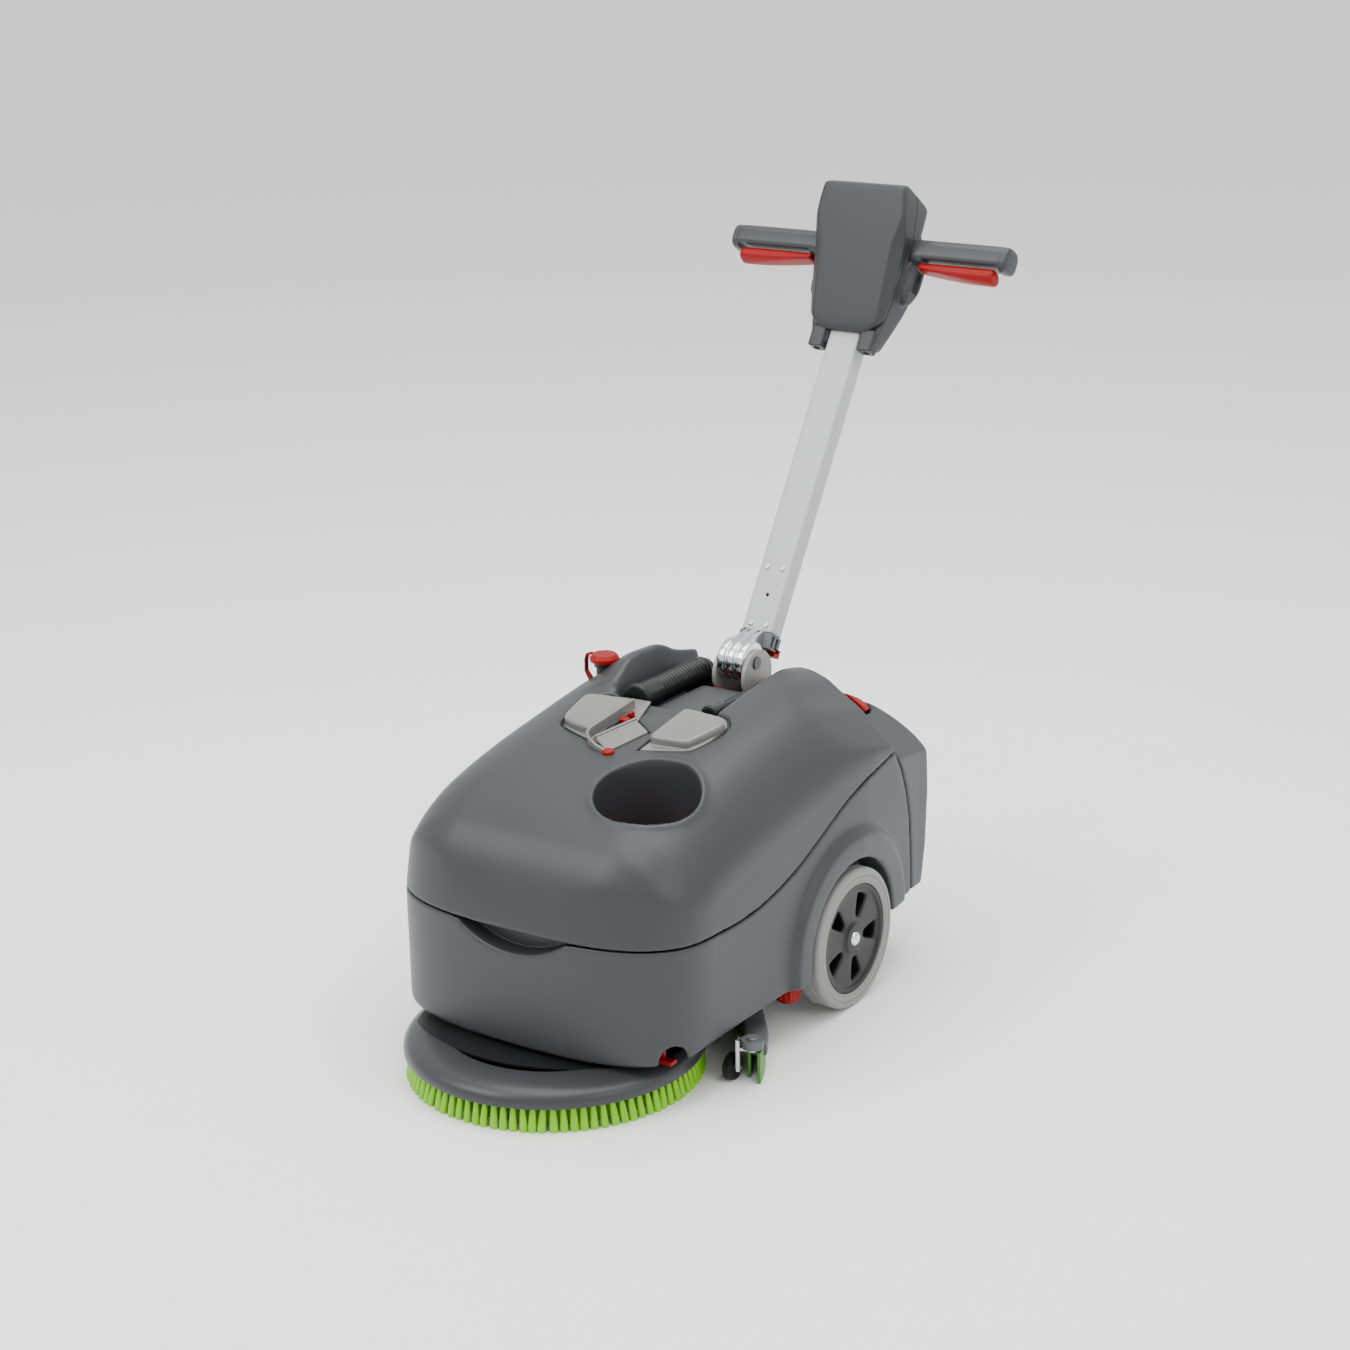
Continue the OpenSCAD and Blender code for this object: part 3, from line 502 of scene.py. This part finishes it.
def lower_field(x, y, z):
    """The lower shell: hollow, open on top, with wheel rooms and a finger recess."""
    seam, steep = SEAM_Z(y)
    bottom, bottom_steep = BOTTOM_Z(y)
    tail, tail_steep = TAIL_Y(z)
    axle_y, axle_z = AXLE
    bulk = smooth_max(plan_field(x, y), (z - seam) * steep, 1.6)
    bulk = smooth_max(bulk, (y - tail) * tail_steep, 2.5)
    arch = smooth_max(arch_field(x, y, z), (z - seam) * steep, 1.6)
    arch = smooth_max(arch, (y - tail) * tail_steep, 2.5)
    out = smooth_min(bulk, arch, 3)
    out = smooth_max(out, (bottom - z) * bottom_steep, 2.5)
    reach = WHEEL_ROOM + 6
    by_wheel = np.hypot(y - axle_y, z - axle_z) < reach
    by_wheel = by_wheel | (np.abs(y - axle_y) < reach) & (z < axle_z)
    hollow = np.maximum(plan_field(x, y, 6.0), np.where(by_wheel, np.abs(x) - 192, 0))
    scoop = np.hypot(x, z - SCOOP_Z) - SCOOP_R
    hollow = np.maximum(hollow, -np.maximum(scoop - 6, y + 50))
    out = smooth_max(out, -hollow, 1.5)
    wheel = np.where(z < axle_z, np.abs(y - axle_y), np.hypot(y - axle_y, z - axle_z)) - WHEEL_ROOM
    out = smooth_max(out, -np.maximum(wheel, 197 - np.abs(x)), 3)
    out = smooth_max(out, -np.maximum(scoop, y + 66), 3)
    notch = np.hypot((x - 212) * 0.5 + (y + 33) * 0.866, np.maximum(z - 73, 0)) - 19
    return smooth_max(out, -np.maximum(notch, 150 - x), 2)


def chamfer(x, y, z):
    """The sloping plane along each upper edge of the rear cover."""
    return 0.79 * (np.abs(x) - 176) + 0.13 * (y - REAR) + 0.6 * (z - 386)


def cover_field(x, y, z):
    """The rear cover, hollow, with slots for the latch, the post and the hinge lugs."""
    tail, tail_steep = TAIL_Y(z)
    back, back_steep = COVER_Y(z)
    form = smooth_max(plan_field(x, y), (y - back) * back_steep, 4)
    form = smooth_max(form, chamfer(x, y, z), 1.5)
    out = smooth_max(form, (tail + SEAM - y) * tail_steep, 1.6)
    out = smooth_max(out, 100 - z, 3)
    out = smooth_max(out, -np.maximum(form + 6, 104 - z), 1.5)
    lug = np.maximum(between(np.abs(x), 146.5, 159.5), np.maximum(y - 585, z - 116))
    out = smooth_max(out, -lug, 1)
    slot = np.maximum(np.maximum(np.abs(x) - 181, y - 524), 374 - z)
    gap = np.maximum(np.maximum(np.abs(x) - 44, y - 524), 200 - z)
    return smooth_max(smooth_max(out, -gap, 3), -slot, 1)


def latch_field(x, y, z):
    """The strip along the cover's upper front edge."""
    top = z - 401.5 + 0.555 * (y - 502)
    out = smooth_max(np.maximum(top * 0.87, chamfer(x, y, z) - 2), between(y, 501, 522), 2)
    tail = TAIL_TOP(np.abs(x))[0]
    out = smooth_max(out, (z - tail - 1 + 0.3 * (y - REAR)) * 0.8, 1.5)
    return smooth_max(smooth_max(out, np.abs(x) - 179, 2), 378 - z, 1)


piece("tank_skin", *skin(tank_field, (-234, -96, 214), (234, 500, 456), 3.0), BODY, SHELL, "tank",
      ["upper_tank"])
piece("shell_skin", *skin(lower_field, (-246, -96, 62), (246, 560, 332), 3.0), BODY, SHELL, "chassis",
      ["lower_shell"])
piece("cover_skin", *skin(cover_field, (-233, 495, 98), (233, 610, 410), 3.0), BODY, COVER, "rear_cover",
      ["rear_cover"])
piece("latch_skin", *skin(latch_field, (-180, 500, 377), (180, 523, 403), 1.8), BODY, RED, "rear_latch",
      ["rear_latch"])

# ---------------------------------------------------------------- lid

LEFT_LOBE = [(-46, -56), (-39, 38), (-50, 43), (-100, 42), (-117, 35), (-106, -40), (-87, -50)]
RIGHT_LOBE = [(39, -46), (100, -41), (120, 29), (112, 39), (76, 47), (38, 50)]
RAMP = [(-33, -63), (3, -88), (23, -18), (-11, 5)]
WINDOW = [(-42, -50), (-33, -58), (-13, 3), (-24, 16), (-37, 37)]
LIP = [(-46, -55), (-43, -67), (-34, -77), (-16, -86), (3, -90)]


def along(x, y, points):
    """Distance from a line of straight pieces."""
    out = 1e9
    for (ax, ay), (bx, by) in zip(points, points[1:]):
        dx, dy = bx - ax, by - ay
        t = np.clip(((x - ax) * dx + (y - ay) * dy) / (dx * dx + dy * dy), 0, 1)
        out = np.minimum(out, np.hypot(x - ax - t * dx, y - ay - t * dy))
    return out


def lid_field(x, y, z):
    """The lid: a plate with two lobes, a ramp between them and a raised lip."""
    plate = np.maximum(convex(x, y, LID_HALF, 8) - 1, between(z, -15.5, -12))
    plate = np.maximum(plate, -convex(x, y, WINDOW, 1))
    lobes = np.minimum(convex(x, y, LEFT_LOBE, 6), convex(x, y, RIGHT_LOBE, 6))
    out = smooth_min(plate, smooth_max(lobes, between(z, -15, 1.0), 3.0), 1)
    edge = np.maximum(along(x, y, [(-45, -55), (-39, 37)]) - 1.8, between(z, -15, 3.0))
    ramp = smooth_max(convex(x, y, RAMP, 2), between(z, -15, -8.5), 1)
    strip = np.maximum(along(x, y, [(-33, -62), (-12, 4)]) - 1.7, between(z, -15, -4.5))
    top = 2.5 - 9 * np.clip((x + 46) / 49, 0, 1)
    lip = np.maximum(along(x, y, LIP) - 1.8, np.maximum(-15 - z, z - top))
    for form in (edge, ramp, strip, lip):
        out = smooth_min(out, form, 1.2)
    return smooth_max(out, 1.5 - ridge_plan(x, y), 1)


def box_field(low, high, soft):
    """A function giving a box with rounded edges."""
    def field(x, y, z):
        flat = smooth_max(between(x, low[0], high[0]), between(y, low[1], high[1]), soft)
        return smooth_max(flat, between(z, low[2], high[2]), soft)
    return field


def window_field(x, y, z):
    """The dark pane in the lid's valley."""
    return np.maximum(convex(x, y, WINDOW, 1) - 0.5, between(z, -15.4, -13.2))


def button_field(x, y, z):
    """A domed button at the lid's front edge."""
    return smooth_max(np.hypot(x - 5, (y + 88.5) * 1.12) - 10, between(z, -14.5, -4.5), 5)


piece("lid_skin", *skin(lid_field, (-122, -94, -17), (122, 74, 5), 1.5), LID, LID_GREY, "lid",
      ["separator_lid"])
piece("lid_window", *skin(window_field, (-44, -60, -16), (-12, 38, -13), 1.2), LID, DARK, "lid")
LID_INNER = [((-35, -8, -13.4), (-20, 4, -5), RED), ((-31, 8, -13.4), (-24, 20, -3), RED),
             ((-38, -34, -13.4), (-30, -16, -8), DARK)]
for k, (low, high, look) in enumerate(LID_INNER):
    piece(f"lid_inner_{k}", *skin(box_field(low, high, 2), low, high, 1.0), LID, look, "lid")
piece("lid_button_skin", *skin(button_field, (-6, -99, -15), (16, -78, -4), 0.8), LID, RED, "lid_button",
      ["lid_button"])

# ---------------------------------------------------------------- head, grips and triggers

HEAD_SIDE = [(10, 507), (20, 490), (44, 488), (58, 560), (62, 672), (37, 714), (-32, 719),
             (-46, 710)]
HEAD_HALF = [(60, 527), (67, 560), (75, 650), (70, 697), (64, 720)]
HEAD_FRONT = [(-38, 507), (38, 507)] + HEAD_HALF + [(-x, z) for x, z in HEAD_HALF[::-1]]
HEAD_BACK = [(-50, 488), (50, 488)] + HEAD_HALF[1:] + [(-x, z) for x, z in HEAD_HALF[:0:-1]]
EAR = [(22, 561), (38, 558), (58, 588), (57, 636), (44, 659), (20, 656), (9, 612)]


def head_field(x, y, z, outline):
    """The whole head, with the outline of one of its halves."""
    out = smooth_max(convex(y, z, HEAD_SIDE, 2.5) - 1.2, convex(x, z, outline, 3) - 1.5, 3)
    corner = 0.82 * (np.abs(x) - 72) + 0.57 * (y - 30) - 0.6 * np.maximum(668 - z, 0)
    out = smooth_max(out, corner, 3)
    socket = np.maximum(np.abs(x) - 26, np.abs(y - 34) - 16)
    return smooth_max(out, -np.maximum(socket, z - 560), 1)


def split_plane(y, z):
    """Positive behind the plane where the two halves of the head meet."""
    return (y - 8) * 0.9945 + (z - 600) * 0.1045


def head_front_field(x, y, z):
    """The front half, its lower corners cut by a facet."""
    edge_x, edge_y = 67 + 0.055 * (z - 544), -46 + 0.2814 * (706 - z)
    facet = 0.68 * (np.abs(x) - edge_x) - 0.73 * (y - edge_y)
    facet = facet + 8 * np.clip((680 - z) / 50, -0.5, 1)
    out = smooth_max(head_field(x, y, z, HEAD_FRONT), facet, 1.0)
    return smooth_max(out, split_plane(y, z) + 0.3, 0.8)


def head_rear_field(x, y, z):
    """The rear half, with ears for the grips, screw tabs and room for the console."""
    out = smooth_max(head_field(x, y, z, HEAD_BACK), 0.3 - split_plane(y, z), 0.8)
    tab = np.maximum(between(y, 12, 34), between(z, 480, 512))
    tab = smooth_max(between(np.abs(x), 29, 52), tab, 2)
    screw = np.maximum(np.hypot(np.abs(x) - 41, y - 23) - 5, z - 486)
    out = np.maximum(smooth_min(out, tab, 2), -screw)
    ear = smooth_max(convex(y, z, EAR, 5), between(np.abs(x), 58, 81), 3)
    out = smooth_min(out, ear, 3)
    way = np.maximum(np.maximum(between(np.abs(x), 76, 130), between(y, 14, 46)), between(z, 584, 616))
    out = smooth_max(out, -way, 1.5)
    console = np.maximum(np.maximum(np.abs(x) - 46, between(z, 590, 676)), 52.5 - y)
    return smooth_max(out, -console, 1.5)


piece("head_front_skin", *skin(head_front_field, (-74, -48, 500), (74, 20, 722), 1.8), HANDLE, HEAD,
      "handle", ["head_front"])
piece("head_rear_skin", *skin(head_rear_field, (-94, -10, 478), (94, 64, 722), 1.8), HANDLE, HEAD,
      "handle", ["head_rear"])


def grip_field(x, y, z):
    """One hand grip, relieved underneath for its trigger."""
    r = (np.abs((y - 24) / 21) ** 3 + np.abs((z - 638) / 19) ** 3) ** (1 / 3)
    out = smooth_max((r - 1) * 19, between(x, 72, 230), 4)
    under = np.maximum(between(x, 94, 216), np.maximum(z - 625, between(y, -5, 60)))
    out = smooth_max(out, -under, 1.5)
    ring = np.hypot(x - 221, (r - 1) * 19) - 1.1
    return smooth_max(out, -ring, 0.5)


def trigger_field(x, y, z):
    """One squeeze trigger, deeper towards its outer end."""
    outline = [(8, 604), (24, 596), (38, 600), (42, 611), (34, 622), (12, 624), (7, 616)]
    out = smooth_max(convex(y, z, outline, 4), between(x, 88, 212), 3)
    return smooth_max(out, 611 - 0.12 * (x - 88) - z, 3)


for side, sign in (("right", 1), ("left", -1)):
    hand = HANDLE @ np.diag([sign, 1.0, 1.0, 1.0])
    piece(f"grip_{side}_skin", *skin(grip_field, (72, -2, 616), (230, 50, 660), 1.8), hand, DECK,
          "handle", [f"grip_{side}"])
    piece(f"trigger_{side}_skin", *skin(trigger_field, (88, 6, 594), (212, 44, 626), 1.8), hand, RED,
          f"trigger_{side}", [f"trigger_{side}"])

# ---------------------------------------------------------------- post


ARM = [(-28, -4), (-14, -25), (24, 8), (45, 50), (14, 55), (-20, 20)]


def knuckle_field(x, y, z):
    """The grooved casting that turns on the fold pin and holds the post."""
    disc = smooth_max(np.hypot(y, z) - 28.5, np.abs(x) - 20.5, 2)
    arm = smooth_max(convex(y, z, ARM, 6), np.abs(x) - 19.5 + 0.12 * np.maximum(z, 0), 3)
    out = smooth_min(disc, arm, 5)
    groove = np.maximum(np.abs(np.abs(x) - 7.5) - 2, -3.5 - out)
    out = smooth_max(out, -groove, 1.5)
    neck = np.maximum(np.abs(x) - 20, np.maximum(between(y, 23, 45), between(z, 48, 86)))
    return np.minimum(out, neck)


piece("knuckle_skin", *skin(knuckle_field, (-21, -30, -30), (21, 48, 87), 1.2), HANDLE, CHROME, "handle",
      ["knuckle"])


def post_field(x, y, z):
    """The hollow post."""
    out = smooth_max(np.abs(x) - 25.5, np.abs(y - 34) - 15, 2.5)
    out = np.maximum(out, -np.maximum(np.abs(x) - 22.5, np.abs(y - 34) - 12))
    hole = np.hypot(x, z - 104) - 2.6
    return smooth_max(np.maximum(out, -np.maximum(hole, y - 24)), between(z, 50, 560), 0.6)


def screw_field(x, y, z):
    """Four domed screw heads on the front of the post."""
    out = 1e9
    for cx in (-12.5, 12.5):
        for cz in (60, 145):
            r = np.hypot(x - cx, z - cz)
            dome = np.maximum(np.sqrt(r ** 2 + (y - 23) ** 2) - 6.4, y - 18.8)
            out = np.minimum(out, np.maximum(dome, -np.maximum(r - 1.6, y - 17.6)))
    return out


piece("post_skin", *skin(post_field, (-26, 19, 50), (26, 49, 560), 1.9), HANDLE, STEEL, "handle", ["post"])
piece("post_screw_heads", *skin(screw_field, (-18, 16, 54), (18, 19, 151), 0.8), HANDLE, BRACKET, "handle",
      ["post_screws"])

# ---------------------------------------------------------------- hoses

HOSE_DROP_Y = 466


def hose(x, z, r, y0, bend, drop_to, pitch, depth):
    """A ribbed hose: a straight run back, a quarter turn and a drop."""
    run = np.arange(y0, HOSE_DROP_Y - bend, 1.0)
    turn = np.linspace(0, math.pi / 2, 60)
    fall = np.arange(z - bend, drop_to, -1.0)
    path = [(x, y, z) for y in run]
    path += [(x, HOSE_DROP_Y + bend * (math.sin(t) - 1), z + bend * (math.cos(t) - 1)) for t in turn]
    path += [(x, HOSE_DROP_Y, h) for h in fall]
    path = np.array(path)
    length = np.concatenate([[0], np.cumsum(np.linalg.norm(np.diff(path, axis=0), axis=1))])
    even = np.arange(0, length[-1], pitch / 6)
    path = np.stack([np.interp(even, length, path[:, k]) for k in range(3)], 1)
    rib = np.maximum(np.cos(2 * math.pi * even / pitch), -0.4)
    return tube(path, r - depth + depth * rib, 48)


def cuff(x, z, sizes):
    """A stepped sleeve where a hose meets the lid."""
    return tube([(x, y, z) for y, _ in sizes], [r for _, r in sizes], 64)


piece("suction_hose_skin", *hose(-HOSE_X, 417, 19, 300, 26, 331, 7.0, 0.9), BODY, RUBBER, "tank",
      ["suction_hose"])
piece("vacuum_hose_skin", *hose(HOSE_X, 416, 8.5, 300, 26, 331, 5.0, 0.6), BODY, RUBBER, "tank",
      ["vacuum_hose"])
WIDE_CUFF = [(287, 17), (287.3, 20.6), (289, 21.8), (297, 21.8), (298.5, 20.6), (300, 20.1),
             (330, 20.1), (332, 19.4), (332.4, 16)]
THIN_CUFF = [(287, 8), (287.2, 12), (288.5, 13), (295, 13), (297, 11.5), (300, 10.4), (322, 9.8),
             (323.4, 9.2), (323.6, 7)]
piece("hose_cuffs_skin", *joined(cuff(-HOSE_X, 417, WIDE_CUFF), cuff(HOSE_X, 416, THIN_CUFF)), BODY,
      RUBBER, "tank", ["hose_cuffs"])

# ---------------------------------------------------------------- brush

TUFT_ROWS = [(92, 188, 195), (78, 166, 170), (62, 142, 144), (48, 116, 114)]
rng = np.random.default_rng(4)


def tuft(angle, r_top, r_foot, half, lean):
    """One clump of bristles, from its root to the floor."""
    levels = [(r_top, 33.0, 0.5), (r_top + (r_foot - r_top) * 0.35, 19, 0.85),
              (r_top + (r_foot - r_top) * 0.8, 6, 1.0), (r_foot, 0.0, 0.96)]
    steps = 12
    verts = []
    for r, z, wide in levels:
        for j in range(steps):
            t = 2 * math.pi * j / steps
            a = angle + lean * (27.5 - z) / 27.5 + half * wide * math.cos(t) / r
            rr = r + 0.75 * half * wide * math.sin(t)
            verts.append((rr * math.cos(a), rr * math.sin(a), z))
    faces = grid_faces(len(levels), steps)
    faces = [f[::-1] for f in faces]
    faces.append(tuple(range(steps)))
    faces.append(tuple((len(levels) - 1) * steps + j for j in range(steps))[::-1])
    return verts, faces


tufts = []
for ring, (count, top, foot) in enumerate(TUFT_ROWS):
    for k in range(count):
        angle = 2 * math.pi * (k + 0.5 * (ring % 2)) / count
        half = math.pi * (foot + 3) / count * rng.uniform(0.74, 0.86)
        tufts.append(tuft(angle, top, foot, half, rng.uniform(-0.012, 0.012)))
piece("bristle_tufts", *joined(*tufts), BODY, GREEN, "brush", ["bristles"], sharp=50)

SKIRT = [(146, 55), (172, 47), (196, 34), (200, 33.5), (201, 35), (201, 38.5), (200.2, 43), (197.5, 48),
         (192, 52.5), (184, 55.8), (172, 58.4), (160, 60), (150, 60.8), (146, 60.4)]
piece("deck_skin", *lathe(SKIRT, 220, closed=True), BODY, DECK, "chassis", ["deck_cover"], sharp=40)


# Painted shade: a dark sheet on the deck's top stands in for the shadow in the gap under the shell. Its front edge
# is an arc round the centre given first; its other edge stops at the reach given last.
SHADE_SHEET_AT, SHADE_SHEET_R, SHADE_SHEET_HOLE, SHADE_SHEET_REACH = (-20, 100), 236, 14, 186


def painted_shade_sheet(steps=240, rows=16):
    """Painted shade: a dark sheet following the deck's top under the shell, standing in for the shadow in the gap
    between them.
    """
    top_r, top_z = zip(*sorted(SKIRT[8:]))
    off_x, off_y = SHADE_SHEET_AT
    verts = []
    for rows_out, lift in ((range(rows), 0.7), (range(rows)[::-1], -1.5)):
        for row in rows_out:
            for j in range(steps):
                a = 2 * math.pi * j / steps
                aim = off_x * math.cos(a) + off_y * math.sin(a)
                edge = aim + math.sqrt(aim ** 2 - off_x ** 2 - off_y ** 2 + SHADE_SHEET_R ** 2)
                reach = min(SHADE_SHEET_REACH, edge) - SHADE_SHEET_HOLE
                r = SHADE_SHEET_HOLE + reach * (row / (rows - 1)) ** 0.5
                verts.append((r * math.cos(a), r * math.sin(a), np.interp(r, top_r, top_z) + lift))
    return verts, grid_faces(2 * rows, steps, wrap_rows=True)


# The dark sheet on the deck is painted shade for the gap under the shell, not a part.
piece("deck_painted_shade", *painted_shade_sheet(), BODY, DARK, "chassis", sharp=40)

# ---------------------------------------------------------------- squeegee


def squeegee_field(x, y, z):
    """The curved carrier of the blades, higher behind, with two sleeves."""
    r = np.hypot(x, y)
    angle = np.degrees(np.arctan2(y, np.abs(x)))
    top = 46 + 27 * np.clip((angle - 41) / 18, 0, 1)
    out = smooth_max(between(r, 249, 282.5), between(z, 27, top), 3)
    sleeve = smooth_max(np.hypot(np.abs(x) - 60, y - 261) - 12, between(z, 40, 80.5), 2)
    return np.maximum(smooth_min(out, sleeve, 3), 25.2 - angle)


piece("squeegee_skin", *skin(squeegee_field, (-257, 100, 26), (257, 286, 82), 2.2), BODY, CLAMP,
      "squeegee", ["squeegee_body"])

# ---------------------------------------------------------------- wheels

TREAD = [(78.2, 4), (84, 3), (88, 1.5), (95, 2), (98.5, 4), (100, 7), (100, 13), (98.4, 14), (98.4, 15.4),
         (100, 16.4), (100, 26), (98.4, 27), (98.4, 28.4), (100, 29.4), (100, 35), (99, 38), (96.5, 40.4),
         (93.5, 41.6), (90.5, 41.8), (89.6, 40.6), (88.4, 40.6), (87.5, 41.6), (84, 41.2), (82.6, 39.8),
         (81, 39.8), (79.8, 40.6), (78.2, 40)]


def hub_field(x, y, z):
    """The wheel disc with five slots."""
    r = np.hypot(x, y)
    out = smooth_max(r - 78, between(z, 8, 35.5), 2)
    rim = smooth_max(between(r, 71, 78), between(z, 4, 38.5), 2)
    boss = smooth_max(r - 21, between(z, 4, 39), 3)
    out = smooth_min(smooth_min(out, rim, 3), boss, 4)
    angle = np.arctan2(y, x) - math.radians(10)
    sector = 2 * math.pi / 5
    local = (angle + sector / 2) % sector - sector / 2
    u, v = r * np.cos(local), r * np.sin(local)
    slot = smooth_max(between(u, 30, 63), (np.abs(v) - 5 - 8.5 * (u - 30) / 33) * 0.97, 4)
    return smooth_max(np.maximum(out, 10.06 - r), -slot, 2.5)


CAP = [(0.5, 44.8), (5, 44.4), (8.6, 42.6), (10.4, 40), (10.4, 38), (0.5, 38)]
for side in ("right", "left"):
    piece(f"tyre_{side}_skin", *lathe([(r, z) for r, z in TREAD], 180, closed=True), WHEEL[side], TYRE,
          f"wheel_{side}", [f"tyre_{side}"], sharp=50)
    piece(f"hub_{side}_skin", *skin(hub_field, (-79, -79, 3), (79, 79, 41), 1.5), WHEEL[side], HUB,
          f"wheel_{side}", [f"hub_{side}"])
    piece(f"axle_cap_{side}", *lathe(CAP, 48), WHEEL[side], CHROME, f"wheel_{side}", sharp=40)

# ---------------------------------------------------------------- stage, lights and camera


def area_light(name, place, aim, size, power):
    """A rectangular light turned towards a point."""
    data = bpy.data.lights.new(name, "AREA")
    data.shape = "RECTANGLE"
    data.size, data.size_y = size
    data.energy = power
    obj = bpy.data.objects.new(name, data)
    obj.location = place
    obj.rotation_euler = (Vector(aim) - Vector(place)).to_track_quat("-Z", "Y").to_euler()
    bpy.context.scene.collection.objects.link(obj)


floor_data = bpy.data.meshes.new("studio_floor")
floor_data.from_pydata([(-30, -30, 0), (30, -30, 0), (30, 30, 0), (-30, 30, 0)], [], [(0, 1, 2, 3)])
floor = bpy.data.objects.new("studio_floor", floor_data)
bpy.context.scene.collection.objects.link(floor)
floor_data.materials.append(finish("studio_floor", (0.93, 0.93, 0.93), 0.6, mottle=0.004, bump=0.0))

world = bpy.data.worlds.new("studio")
world.use_nodes = True
world.node_tree.nodes["Background"].inputs["Color"].default_value = (1, 1, 1, 1)
world.node_tree.nodes["Background"].inputs["Strength"].default_value = 1.15
bpy.context.scene.world = world
area_light("key", (-1.6, -2.6, 3.2), (0, 0, 0.3), (2.2, 2.2), 90)
area_light("fill", (3.2, -0.6, 2.2), (0, 0, 0.4), (2.2, 2.2), 26)
area_light("top", (0.2, 0.3, 3.6), (0, 0, 0), (3.4, 3.4), 170)

AZIMUTH, ELEVATION, ROLL = (math.radians(a) for a in (34.3548, 18.0766, -1.0741))
CAMERA_AT = (2.0342, brush_y - 2.6797, 1.6371)
camera_data = bpy.data.cameras.new("studio_camera")
camera_data.sensor_width = 36.0
camera_data.lens = 74.294
camera = bpy.data.objects.new("studio_camera", camera_data)
back = Vector((math.sin(AZIMUTH) * math.cos(ELEVATION), -math.cos(AZIMUTH) * math.cos(ELEVATION),
               math.sin(ELEVATION)))
flat_right = Vector((math.cos(AZIMUTH), math.sin(AZIMUTH), 0))
flat_up = back.cross(flat_right)
right = math.cos(ROLL) * flat_right + math.sin(ROLL) * flat_up
up = -math.sin(ROLL) * flat_right + math.cos(ROLL) * flat_up
turn = Matrix((right, up, back)).transposed().to_4x4()
camera.matrix_world = Matrix.Translation(CAMERA_AT) @ turn
bpy.context.scene.collection.objects.link(camera)
bpy.context.scene.camera = camera
